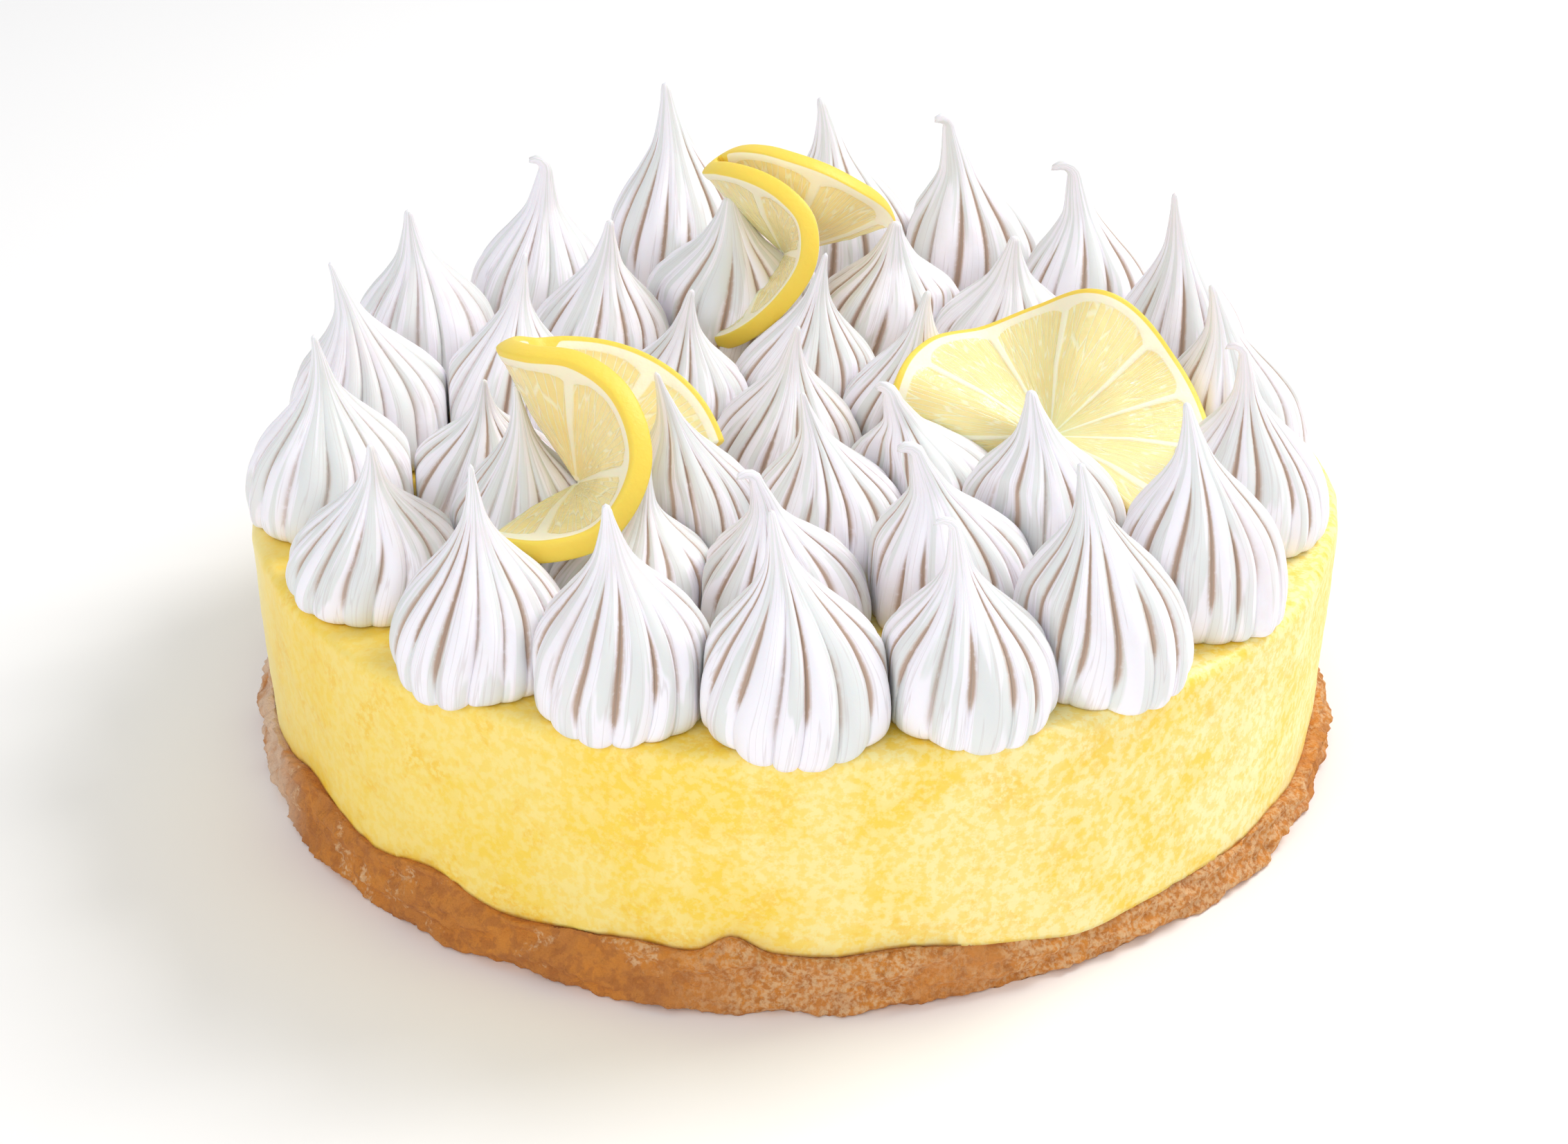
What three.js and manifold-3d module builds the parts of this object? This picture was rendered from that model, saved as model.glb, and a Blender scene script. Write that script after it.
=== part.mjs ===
// A lemon meringue pie on a crumb base: a deep disc of set lemon filling, covered all over with piped
// meringue kisses, with three twisted lemon slices pushed in between them.
//
// Millimetres, +Z up. The origin is the middle of the flat underside; the front of the pie faces -Y.
// A bearing is an angle in degrees round +Z, counted from +X, so the front of the pie is at -90.

import * as THREE from 'three';
import { mergeVertices } from 'three/addons/utils/BufferGeometryUtils.js';
import Module from 'manifold-3d';

const wasm = await Module();
wasm.setup();

// ---- driving dimensions ----

const PIE_RADIUS = 100; // the filling's side, as turned out of a 20 cm springform tin
const FILLING_TOP = 47.5; // height of the flat surface that the meringue stands on
const RIM_FILLET = 2; // the filling's rounded upper edge
const SIDE_BELLY = 0.2; // how far the filling's side stands out halfway up
const SIDE_WOBBLE = 0.35; // how far the filling's side wanders in and out
const SIDE_ZONE = 2.5; // the wandering side's reach inwards from the edge
const TOUCH_GAP = 0.3; // clearance between pieces that lie against each other

const CRUST_RADIUS = 102; // the crumb base is pressed a little wider than the filling
const CRUST_HEIGHT = 9.2; // mean height of its upper edge
const CRUST_BORDER = 6; // width of the crumbly border inside the edge
const CRUST_SKIN = 2; // how far in from the side its crags reach
const CRUMB_RELIEF = 0.75; // depth of the crags on its side
const CRUMB_EDGE = 0.7; // small ups and downs of its upper edge
const ROUND_STEPS = 84; // facets round the crust and the filling

const KISS_RADIUS = 14.4; // half the width of a plain kiss
const KISS_FACETS = 24; // two facets for each flute of the piping nozzle
const FLUTE_DEPTH = 0.06; // groove depth as a share of the local radius
const KISS_TWIST = 24; // degrees that the flutes turn from the foot to the tip
const RING_TURN = 7; // degrees that the flutes are turned on from each kiss of a ring to the next
const SHOULDER_FILL = 4; // how strongly a kiss's fullness tells on its shoulders
const LEAN_POWER = 1.7; // above 1, a leaning kiss bends most near its tip
const PRESS_REACH = 3; // kisses with less than this between their plain sides press on each other
const HOOK_START = 0.76; // share of the height where a hooked tip begins to bend
const HOOK_REACH = 0.09; // how far a hooked tip reaches sideways, as a share of the height

const SLICE_THICKNESS = 3.8;
const SLICE_THIN = 14; // inside this radius a slice tapers to its centre
const SLICE_RAYS = 36; // facets round a slice
const RIND_BULGE = 0.6; // how far the rind's middle stands out
const CENTRE_ROOM = 1.2; // radius of the room that a kiss leaves round a slice's thin centre
const LEAST_CUT = 0.01; // mm3; a slice that would take less than this from a kiss doesn't touch it

// Places where the crust swells or shrinks: bearing and half width in degrees, rise of the upper edge
// and reach of the side in mm.
const CRUST_SWELLS = [
  { bearing: 176, width: 16, rise: 3.6, reach: 0.6 },
  { bearing: -147, width: 11, rise: 4.4, reach: 0.3 },
  { bearing: -127, width: 7, rise: 3.4, reach: 0.6 },
  { bearing: -104, width: 9, rise: 1.6, reach: 0.5 },
  { bearing: -96, width: 2.6, rise: 4.2, reach: 0.4 },
  { bearing: -79, width: 7, rise: 2, reach: 0 },
  { bearing: -58, width: 15, rise: -2, reach: -1.6 },
  { bearing: -22, width: 16, rise: -2.2, reach: 0.4 },
  { bearing: 22, width: 12, rise: 1.8, reach: 0.3 },
  { bearing: 67, width: 15, rise: -1.6, reach: -0.5 },
  { bearing: 112, width: 9, rise: 2.4, reach: 0.6 },
];

// Waves round the pie: how many there are, how far each one turns on per mm of height and at the start
// (radians), and its size as a share of the relief it belongs to.
const EDGE_WAVES = [
  { count: 19, climb: 0, phase: 0, size: 0.6 },
  { count: 31, climb: 0, phase: 1, size: 0.4 },
];
const CRAG_WAVES = [
  { count: 7, climb: 0.6, phase: 0, size: 0.55 },
  { count: 17, climb: -0.9, phase: 2, size: 0.55 },
  { count: 29, climb: 1.7, phase: 0, size: 0.45 },
  { count: 37, climb: -1.3, phase: 1, size: 0.45 },
];
const SIDE_WAVES = [
  { count: 5, climb: 0.05, phase: 0, size: 1 },
  { count: 11, climb: 0, phase: 2, size: 1 },
];

// Half the outline of the crust: distance in from its side in mm, and share of the height at the edge.
const CRUST_OUTLINE = [
  [CRUST_RADIUS, 0],
  [1, 0],
  [0, 0.25],
  [0, 0.5],
  [0.4, 0.8],
  [1.6, 1],
  [CRUST_RADIUS - PIE_RADIUS + CRUST_BORDER, 1],
  [CRUST_RADIUS, 1],
];

// Half the outline of a kiss, as shares of its radius and of its height: a foot drawn in a little,
// a full belly, and shoulders that run up into a thin point.
const KISS_OUTLINE = [
  [0, 0],
  [0.87, 0],
  [1, 0.13],
  [0.88, 0.33],
  [0.5, 0.55],
  [0.16, 0.75],
  [0, 1],
];

// The kisses, ring by ring. Each one has the bearing and distance of its foot, its height, and how far
// its tip leans along X and Y. Some have a girth, a fullness that fills out their shoulders or draws them
// in, or a hook: the bearing that the tip curls over to.
const OUTER_KISSES = [
  { at: -90, out: 87.5, height: 37, lean: [-4, -1], girth: 1.07 },
  { at: -72.5, out: 88, height: 33.4, lean: [-3, -1], hook: 190 },
  { at: -56, out: 87.5, height: 36.5, lean: [-5, 1], full: 0.08 },
  { at: -37.5, out: 86, height: 37.5, lean: [-5, 1], girth: 0.98, full: 0.1 },
  { at: -16.5, out: 83.5, height: 35.7, lean: [-3, -1], girth: 1.03, hook: 170 },
  { at: 3, out: 83, height: 36, lean: [-7, -1], girth: 0.97, full: 0.12 },
  { at: 23, out: 83, height: 44, lean: [-4, -2], girth: 0.97, full: 0.05 },
  { at: 43, out: 84, height: 39.5, lean: [-5, 2], full: 0.15, hook: 185 },
  { at: 62.5, out: 84, height: 44.6, lean: [-7, -1], full: 0.25, hook: 195 },
  { at: 82, out: 85, height: 45, lean: [-6.2, 2.3], girth: 1.08, full: 0.22 },
  { at: 106, out: 84, height: 49, lean: [-3.7, 3.2], girth: 1.1, full: 0.2 },
  { at: 129, out: 85, height: 38.8, lean: [3, -2], full: 0.15, hook: 175 },
  { at: 151, out: 84.5, height: 38.5, lean: [-1, -5], girth: 1.04, full: 0.12 },
  { at: 172, out: 80, height: 37, lean: [-7, 1], girth: 1.13 },
  { at: -168, out: 85, height: 35.5, lean: [-1, -1], girth: 1.08 },
  { at: -147, out: 85, height: 29, lean: [1, -3], girth: 1.04 },
  { at: -125, out: 88, height: 37, lean: [0, -1], full: -0.05 },
  { at: -108, out: 87, height: 36, lean: [-2, -2], full: 0.08 },
];
const MIDDLE_KISSES = [
  { at: -92, out: 58, height: 30.7, lean: [-5, -6], full: 0.05, hook: 200 },
  { at: -117, out: 60, height: 26, lean: [3, 2] },
  { at: -142, out: 59, height: 33, lean: [-1, 2], girth: 0.97 },
  { at: -167, out: 58, height: 28, lean: [2, -8] },
  { at: 166, out: 57, height: 37, lean: [5, 3] },
  { at: 137, out: 54, height: 38, lean: [4, -5], girth: 1.02, full: 0.12 },
  { at: 103, out: 55.5, height: 36, lean: [-0.4, -4.1], girth: 1.15, full: 0.38 },
  { at: 69, out: 53, height: 34, lean: [1, -8], girth: 1.04, full: 0.3 },
  { at: 40, out: 54, height: 35, lean: [1, -4], full: 0.25 },
  { at: 13, out: 54, height: 28, lean: [0, 2] },
  { at: -12, out: 57, height: 19, lean: [1, 2] },
  { at: -41.5, out: 57.5, height: 35, lean: [-4, -3], full: 0.2 },
  { at: -63.5, out: 60, height: 32.3, lean: [-8, -4], full: 0.15, hook: 185 },
];
const INNER_KISSES = [
  { at: -79.5, out: 33, height: 33, lean: [-5, -5] },
  { at: -118, out: 39, height: 38, lean: [-5, -6], girth: 0.98 },
  { at: -40, out: 31, height: 28.3, lean: [-8, -6], full: 0.15, hook: 170 },
  { at: -112, out: 5.5, height: 33.5, lean: [2.5, -5], full: 0.05 },
  { at: 156.5, out: 25, height: 34, lean: [4, -4], girth: 1.04, full: 0.05 },
  { at: 85, out: 21, height: 36.5, lean: [4, -3], girth: 1.03 },
  { at: 15, out: 23, height: 35, lean: [2, -3], full: 0.08 },
  { at: -158, out: 31, height: 27, lean: [0, 1], girth: 0.96 },
];

// The slices. Each is cut once from rim to centre and twisted, so all its radii still meet in the
// centre. The rim runs through these directions from the centre, from one cut edge to the other.
const SLICES = [
  {
    name: 'lemon_slice_left',
    centre: [-37.4, -39, 64.2],
    radius: 27,
    rim: [
      [0.92, 0.38, 0.1],
      [0.76, 0.55, 0.35],
      [0.32, 0.74, 0.59],
      [-0.08, 0.74, 0.67],
      [-0.33, 0.63, 0.7],
      [-0.42, 0.14, 0.9],
      [-0.24, -0.12, 0.96],
      [0.04, -0.23, 0.97],
      [0.34, -0.44, 0.83],
      [0.47, -0.74, 0.49],
      [0.24, -0.96, 0.13],
      [-0.1, -0.99, 0.02],
      [-0.47, -0.88, 0],
    ],
  },
  {
    name: 'lemon_slice_back',
    centre: [-2.1, 51, 70.8],
    radius: 23.6,
    rim: [
      [0.95, 0.07, 0.31],
      [0.65, -0.27, 0.71],
      [0.36, -0.31, 0.88],
      [0.07, -0.25, 0.97],
      [-0.19, -0.08, 0.97],
      [-0.56, 0.26, 0.78],
      [-0.64, 0.1, 0.76],
      [-0.51, -0.17, 0.84],
      [0, -0.62, 0.78],
      [0.19, -0.78, 0.6],
      [0.2, -0.93, 0.3],
      [0, -1, -0.03],
      [-0.55, -0.61, -0.57],
      [-0.71, -0.3, -0.64],
    ],
  },
  {
    name: 'lemon_slice_right',
    centre: [45.5, -18, 63],
    radius: 29.5,
    rim: [
      [-0.81, 0.3, -0.51],
      [-0.98, 0.15, -0.1],
      [-0.96, 0.16, 0.25],
      [-0.77, 0.54, 0.35],
      [-0.37, 0.88, 0.31],
      [0.01, 0.89, 0.47],
      [0.31, 0.69, 0.66],
      [0.43, 0.63, 0.65],
      [0.8, 0.54, 0.27],
      [0.99, 0.11, -0.07],
      [0.82, -0.55, -0.14],
      [0.45, -0.88, -0.16],
    ],
  },
];

// ---- finishes ----

function finish(colour, roughness) {
  return new THREE.MeshStandardMaterial({ color: colour, roughness, metalness: 0 });
}

const crustFinish = () => finish(0xbd7a42, 0.9);
const fillingFinish = () => finish(0xfde27e, 0.5);
const meringueFinish = () => finish(0xf6f3f8, 0.6);
const lemonFinish = () => finish(0xf7da62, 0.4);

// ---- helpers ----

const radians = THREE.MathUtils.degToRad;

// The point at a bearing and distance from the pie's axis.
function polar(bearing, distance) {
  return new THREE.Vector2(Math.cos(radians(bearing)), Math.sin(radians(bearing))).multiplyScalar(distance);
}

// The smallest difference between two bearings.
function turnBetween(a, b) {
  return Math.abs(THREE.MathUtils.euclideanModulo(a - b + 180, 360) - 180);
}

// What a set of waves adds up to at a bearing and a height.
function waves(set, bearing, height) {
  const angle = radians(bearing);
  let total = 0;
  for (const wave of set) {
    total += wave.size * Math.sin(wave.count * angle + wave.climb * height + wave.phase);
  }
  return total;
}

// Moves every point of a geometry by a function that changes the point in place.
function reshape(geometry, move) {
  const places = geometry.attributes.position;
  const point = new THREE.Vector3();
  for (let i = 0; i < places.count; i += 1) {
    point.fromBufferAttribute(places, i);
    move(point);
    places.setXYZ(i, point.x, point.y, point.z);
  }
  return geometry;
}

// Keeps only the places of the points, each one once, so that the surface is closed.
function closed(geometry) {
  geometry.deleteAttribute('normal');
  geometry.deleteAttribute('uv');
  return mergeVertices(geometry, 1e-3);
}

// Stands a geometry that was made round +Y on +Z, with no rounding.
const UPRIGHT = new THREE.Matrix4().set(1, 0, 0, 0, 0, 0, -1, 0, 0, 1, 0, 0, 0, 0, 0, 1);

// A turned solid standing on +Z. The outline gives distance from the axis and height, going up.
function turned(outline, steps) {
  const points = outline.map(([across, up]) => new THREE.Vector2(across, up));
  return closed(new THREE.LatheGeometry(points, steps).applyMatrix4(UPRIGHT));
}

function named(geometry, name, material) {
  geometry.computeVertexNormals();
  const mesh = new THREE.Mesh(geometry, material);
  mesh.name = name;
  return mesh;
}

// ---- crust and filling ----

// What the swells round a bearing add up to, of either their rise or their reach.
function swollen(bearing, kind) {
  let total = 0;
  for (const swell of CRUST_SWELLS) {
    const share = turnBetween(bearing, swell.bearing) / swell.width;
    total += swell[kind] * Math.exp(-share * share);
  }
  return total;
}

// Height of the crust's upper edge at a bearing: broad swells and fine crumbs.
function crustEdge(bearing) {
  return CRUST_HEIGHT + swollen(bearing, 'rise') + CRUMB_EDGE * waves(EDGE_WAVES, bearing, 0);
}

// How far the crust's side stands out at a bearing and a height: its swells and crags.
function crag(bearing, height) {
  return swollen(bearing, 'reach') + CRUMB_RELIEF * waves(CRAG_WAVES, bearing, height);
}

// The level of the joint between crust and filling: it slopes from the middle to the border, and from
// there on it is as high as the crust's upper edge.
function jointLevel(bearing, distance) {
  const share = Math.min(1, distance / (PIE_RADIUS - CRUST_BORDER));
  return THREE.MathUtils.lerp(CRUST_HEIGHT, crustEdge(bearing), share);
}

function bearingOf(point) {
  return THREE.MathUtils.radToDeg(Math.atan2(point.y, point.x));
}

// The crumb base: a flat disc with a craggy side and an uneven upper edge. It is turned one unit high,
// so that a point's height is its share of the height at the edge.
function crustBase() {
  const outline = CRUST_OUTLINE.map(([inset, share]) => [CRUST_RADIUS - inset, share]);
  const geometry = turned(outline, ROUND_STEPS);
  return reshape(geometry, (point) => {
    const distance = Math.hypot(point.x, point.y);
    const bearing = bearingOf(point);
    const share = point.z;
    point.z = share * jointLevel(bearing, distance);
    if (distance > CRUST_RADIUS - CRUST_SKIN) {
      const grow = 1 + crag(bearing, point.z) / distance;
      point.x *= grow;
      point.y *= grow;
    }
  });
}

// The set lemon filling: a deep disc with an upright side, a softly rounded upper edge and a flat top.
// Its underside follows the crust.
function lemonFilling() {
  const corner = RIM_FILLET * (1 - Math.SQRT1_2);
  const outline = [
    [0, 0],
    [PIE_RADIUS - CRUST_BORDER, 0],
    [PIE_RADIUS, 0],
    [PIE_RADIUS + SIDE_BELLY, FILLING_TOP / 2],
    [PIE_RADIUS, FILLING_TOP - RIM_FILLET],
    [PIE_RADIUS - corner, FILLING_TOP - corner],
    [PIE_RADIUS - RIM_FILLET, FILLING_TOP],
    [0, FILLING_TOP],
  ];
  const geometry = turned(outline, ROUND_STEPS);
  return reshape(geometry, (point) => {
    const distance = Math.hypot(point.x, point.y);
    const bearing = bearingOf(point);
    if (point.z === 0) {
      point.z = jointLevel(bearing, distance) + TOUCH_GAP;
    }
    if (distance > PIE_RADIUS - SIDE_ZONE) {
      const grow = 1 + (SIDE_WOBBLE * waves(SIDE_WAVES, bearing, point.z)) / distance;
      point.x *= grow;
      point.y *= grow;
    }
  });
}

// ---- meringue kisses ----

// Fills in the usual values of a kiss and works out where its foot stands.
function kissPlan(row, name, turn) {
  return {
    name,
    turn,
    foot: polar(row.at, row.out),
    height: row.height,
    lean: new THREE.Vector2(...row.lean),
    radius: KISS_RADIUS * (row.girth ?? 1),
    full: row.full ?? 0,
    hook: row.hook,
  };
}

function planRing(rows, ring) {
  return rows.map((row, i) => {
    const number = String(i + 1).padStart(2, '0');
    return kissPlan(row, `kiss_${ring}_${number}`, row.at + RING_TURN * i);
  });
}

// The middle line of a kiss at a share of its height: it leans more and more towards the tip, and a
// hooked tip bends over to its side.
function kissAxis(kiss, share) {
  const bend = share ** LEAN_POWER;
  const point = new THREE.Vector3(kiss.lean.x * bend, kiss.lean.y * bend, kiss.height * share);
  if (kiss.hook !== undefined && share > HOOK_START) {
    const past = (share - HOOK_START) / (1 - HOOK_START);
    const side = polar(kiss.hook, HOOK_REACH * kiss.height * past);
    point.x += side.x;
    point.y += side.y;
  }
  return point;
}

// The upright planes on which a kiss is pressed flat by its neighbours, as directions and distances
// from its foot. The wider kiss of two takes the larger part of the way between them.
function pressedPlanes(kiss, all) {
  const planes = [];
  for (const other of all) {
    const way = new THREE.Vector2().subVectors(other.foot, kiss.foot);
    const apart = way.length();
    if (other !== kiss && apart < kiss.radius + other.radius + PRESS_REACH) {
      const share = 0.5 + (kiss.radius ** 2 - other.radius ** 2) / (2 * apart * apart);
      planes.push({ direction: way.normalize(), limit: apart * share - TOUCH_GAP / 2 });
    }
  }
  return planes;
}

// Moves a point that lies beyond a pressed plane back onto it.
function press(point, planes) {
  for (const plane of planes) {
    const beyond = point.x * plane.direction.x + point.y * plane.direction.y - plane.limit;
    if (beyond > 0) {
      point.x -= beyond * plane.direction.x;
      point.y -= beyond * plane.direction.y;
    }
  }
}

// A radius of the kiss as a share of its belly, with the shoulders filled out. Foot, belly and tip stay.
function filledOut(across, full) {
  const room = SHOULDER_FILL * (1 - across);
  return across * (1 + full * room);
}

// One piped kiss, its flutes turning a little on their way up.
function kissGeometry(kiss, all) {
  const outline = KISS_OUTLINE.map(([across, up]) => {
    return [filledOut(across, kiss.full) * kiss.radius, up * kiss.height];
  });
  const geometry = turned(outline, KISS_FACETS);
  const planes = pressedPlanes(kiss, all);
  return reshape(geometry, (point) => {
    const distance = Math.hypot(point.x, point.y);
    const share = point.z / kiss.height;
    const facet = Math.round((Math.atan2(point.y, point.x) / Math.PI / 2) * KISS_FACETS);
    const flute = distance * FLUTE_DEPTH * (facet % 2 === 0 ? 1 : -1);
    const axis = kissAxis(kiss, share);
    const angle = radians(kiss.turn + KISS_TWIST * share + (360 * facet) / KISS_FACETS);
    point.x = axis.x + (distance + flute) * Math.cos(angle);
    point.y = axis.y + (distance + flute) * Math.sin(angle);
    point.z = axis.z;
    press(point, planes);
    press(point, planes);
    point.x += kiss.foot.x;
    point.y += kiss.foot.y;
    point.z += FILLING_TOP;
  });
}

// ---- lemon slices ----

// The directions of a slice's radii, evenly spaced along the rim, with the slice's normal at each.
function sliceRadii(rim, rays) {
  const curve = new THREE.CatmullRomCurve3(rim.map((way) => new THREE.Vector3(...way).normalize()));
  const radii = [];
  for (let i = 0; i <= rays; i += 1) {
    const way = curve.getPointAt(i / rays).normalize();
    const along = curve.getTangentAt(i / rays);
    radii.push({ way, normal: new THREE.Vector3().crossVectors(way, along).normalize() });
  }
  return radii;
}

// A twisted slice: each radius is the same section, and the sections are joined one to the next.
// The spare thickness is added to both faces and to the rim.
function sliceGeometry(slice, spare) {
  const half = SLICE_THICKNESS / 2 + spare;
  const edge = slice.radius + spare;
  const section = [
    [SLICE_THIN, half],
    [edge - RIND_BULGE, half],
    [edge, 0],
    [edge - RIND_BULGE, -half],
    [SLICE_THIN, -half],
  ];
  const centre = new THREE.Vector3(...slice.centre);
  const radii = sliceRadii(slice.rim, SLICE_RAYS);
  const places = [...slice.centre];
  for (const { way, normal } of radii) {
    for (const [out, side] of section) {
      places.push(...centre.clone().addScaledVector(way, out).addScaledVector(normal, side));
    }
  }
  const index = (ray, row) => 1 + ray * section.length + row;
  const faces = [];
  for (let ray = 0; ray < SLICE_RAYS; ray += 1) {
    faces.push(0, index(ray, 0), index(ray + 1, 0));
    for (let row = 0; row + 1 < section.length; row += 1) {
      faces.push(index(ray, row), index(ray, row + 1), index(ray + 1, row + 1));
      faces.push(index(ray, row), index(ray + 1, row + 1), index(ray + 1, row));
    }
    faces.push(0, index(ray + 1, section.length - 1), index(ray, section.length - 1));
  }
  for (let row = 0; row + 1 < section.length; row += 1) {
    faces.push(0, index(0, row + 1), index(0, row));
    faces.push(0, index(SLICE_RAYS, row), index(SLICE_RAYS, row + 1));
  }
  const geometry = new THREE.BufferGeometry();
  geometry.setAttribute('position', new THREE.Float32BufferAttribute(places, 3));
  geometry.setIndex(faces);
  return geometry;
}

// ---- cutting the kisses round the slices ----

function asSolid(geometry) {
  const vertProperties = new Float32Array(geometry.attributes.position.array);
  const triVerts = new Uint32Array(geometry.index.array);
  return new wasm.Manifold(new wasm.Mesh({ numProp: 3, vertProperties, triVerts }));
}

function asGeometry(solid) {
  const { vertProperties, triVerts } = solid.getMesh();
  const geometry = new THREE.BufferGeometry();
  geometry.setAttribute('position', new THREE.BufferAttribute(vertProperties, 3));
  geometry.setIndex(new THREE.BufferAttribute(triVerts, 1));
  return geometry;
}

// The room that a slice needs, with its clearance, also round its thin centre.
function sliceRoom(slice) {
  const ball = closed(new THREE.IcosahedronGeometry(CENTRE_ROOM, 0)).translate(...slice.centre);
  return asSolid(sliceGeometry(slice, TOUCH_GAP)).add(asSolid(ball));
}

// The largest of the bodies that a cut leaves.
function largest(solid) {
  const bodies = solid.decompose();
  return bodies.reduce((best, body) => (body.volume() > best.volume() ? body : best));
}

// A kiss with the slices' room taken out of it. One that no slice touches stays as it is.
function cutKiss(geometry, rooms) {
  const whole = asSolid(geometry);
  let left = whole;
  for (const room of rooms) {
    left = left.subtract(room);
  }
  const removed = whole.volume() - left.volume();
  return removed > LEAST_CUT ? asGeometry(largest(left)) : geometry;
}

// ---- the whole pie ----

function buildPie() {
  const pie = new THREE.Group();
  pie.add(named(crustBase(), 'crust_base', crustFinish()));
  pie.add(named(lemonFilling(), 'lemon_filling', fillingFinish()));

  const rooms = SLICES.map(sliceRoom);
  const kisses = [
    ...planRing(OUTER_KISSES, 'outer'),
    ...planRing(MIDDLE_KISSES, 'middle'),
    ...planRing(INNER_KISSES, 'inner'),
  ];
  for (const kiss of kisses) {
    pie.add(named(cutKiss(kissGeometry(kiss, kisses), rooms), kiss.name, meringueFinish()));
  }
  for (const slice of SLICES) {
    pie.add(named(sliceGeometry(slice, 0), slice.name, lemonFinish()));
  }
  return pie;
}

export default buildPie();
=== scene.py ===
"""A lemon meringue pie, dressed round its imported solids.

Lengths are in millimetres until a mesh is finished, when it is scaled to metres. +Z is up, the origin is
the middle of the flat underside, and the front of the pie faces -Y. A bearing is an angle in degrees
round +Z, counted from +X.
"""

from __future__ import annotations

import logging
import math
import random
from dataclasses import dataclass, field
from enum import Enum
from typing import Callable, Sequence, Union

import bmesh
import bpy
from mathutils import Matrix, Vector, noise


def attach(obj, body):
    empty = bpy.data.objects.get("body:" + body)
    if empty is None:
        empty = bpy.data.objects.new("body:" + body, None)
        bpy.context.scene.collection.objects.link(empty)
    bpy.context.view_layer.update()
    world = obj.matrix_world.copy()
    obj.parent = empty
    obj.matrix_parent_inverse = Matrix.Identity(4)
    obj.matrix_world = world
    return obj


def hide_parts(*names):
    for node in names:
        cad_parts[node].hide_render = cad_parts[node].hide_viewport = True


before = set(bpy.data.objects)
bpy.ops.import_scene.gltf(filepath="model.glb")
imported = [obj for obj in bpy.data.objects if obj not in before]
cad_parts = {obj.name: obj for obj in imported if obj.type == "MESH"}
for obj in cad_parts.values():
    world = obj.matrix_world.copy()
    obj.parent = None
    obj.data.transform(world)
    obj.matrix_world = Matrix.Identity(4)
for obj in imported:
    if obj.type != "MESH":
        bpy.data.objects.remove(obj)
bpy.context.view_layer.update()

MM = 0.001
ROOT_BODY = "root"
SEAM_DISTANCE = 0.0001  # mm, between points that are one

Colour = tuple[float, float, float, float]
Feed = Union[bpy.types.NodeSocket, float, Sequence[float]]
Table = Sequence[tuple[float, float]]

log = logging.getLogger("pie")


class Slot(Enum):
    """The material slots."""

    CRUST = "crust"
    FILLING = "filling"
    MERINGUE = "meringue"
    LEMON = "lemon"


# ---- small helpers ----


def paint(red: int, green: int, blue: int) -> Colour:
    """Turns a display colour into the linear colour that a shader takes, by the sRGB curve.

    Args:
        red: Red, 0 to 255.
        green: Green, 0 to 255.
        blue: Blue, 0 to 255.

    Returns:
        Linear red, green, blue and an alpha of 1.
    """
    shares = [channel / 255 for channel in (red, green, blue)]
    linear = [s / 12.92 if s <= 0.04045 else ((s + 0.055) / 1.055) ** 2.4 for s in shares]
    return (linear[0], linear[1], linear[2], 1.0)


def lerp(low: float, high: float, share: float) -> float:
    """The value a share of the way from low to high."""
    return low + (high - low) * share


def ease(low: float, high: float, value: float) -> float:
    """Rises smoothly from 0 at low to 1 at high, whichever of the two is larger.

    Args:
        low: The value that gives 0.
        high: The value that gives 1.
        value: The value to judge.

    Returns:
        A share from 0 to 1.
    """
    share = min(1.0, max(0.0, (value - low) / (high - low)))
    return share * share * (3 - 2 * share)


def along_table(table: Table, at: float) -> float:
    """Reads a table of (place, value) rows, going evenly from one row to the next.

    Args:
        table: Rows in order of their place.
        at: The place to read.

    Returns:
        The value there.
    """
    for (place, value), (next_place, next_value) in zip(table, table[1:]):
        if at <= next_place:
            share = max(0.0, (at - place) / (next_place - place))
            return lerp(value, next_value, share)
    return table[-1][1]


def polar(bearing: float, distance: float) -> Vector:
    """The flat point at a bearing and a distance from the pie's axis."""
    angle = math.radians(bearing)
    return Vector((math.cos(angle) * distance, math.sin(angle) * distance))


def raised(bearing: float, distance: float, height: float) -> Vector:
    """The point at a bearing, a distance from the pie's axis and a height."""
    return polar(bearing, distance).to_3d() + Vector((0, 0, height))


def turn_between(a: float, b: float) -> float:
    """The smallest difference between two bearings."""
    return abs((a - b + 180) % 360 - 180)


def add_object(name: str, data: bpy.types.ID) -> bpy.types.Object:
    """Puts a new object into the scene.

    Args:
        name: Its name.
        data: Its mesh, camera or light.

    Returns:
        The object, at the origin.
    """
    added = bpy.data.objects.new(name, data)
    bpy.context.scene.collection.objects.link(added)
    return added


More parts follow.
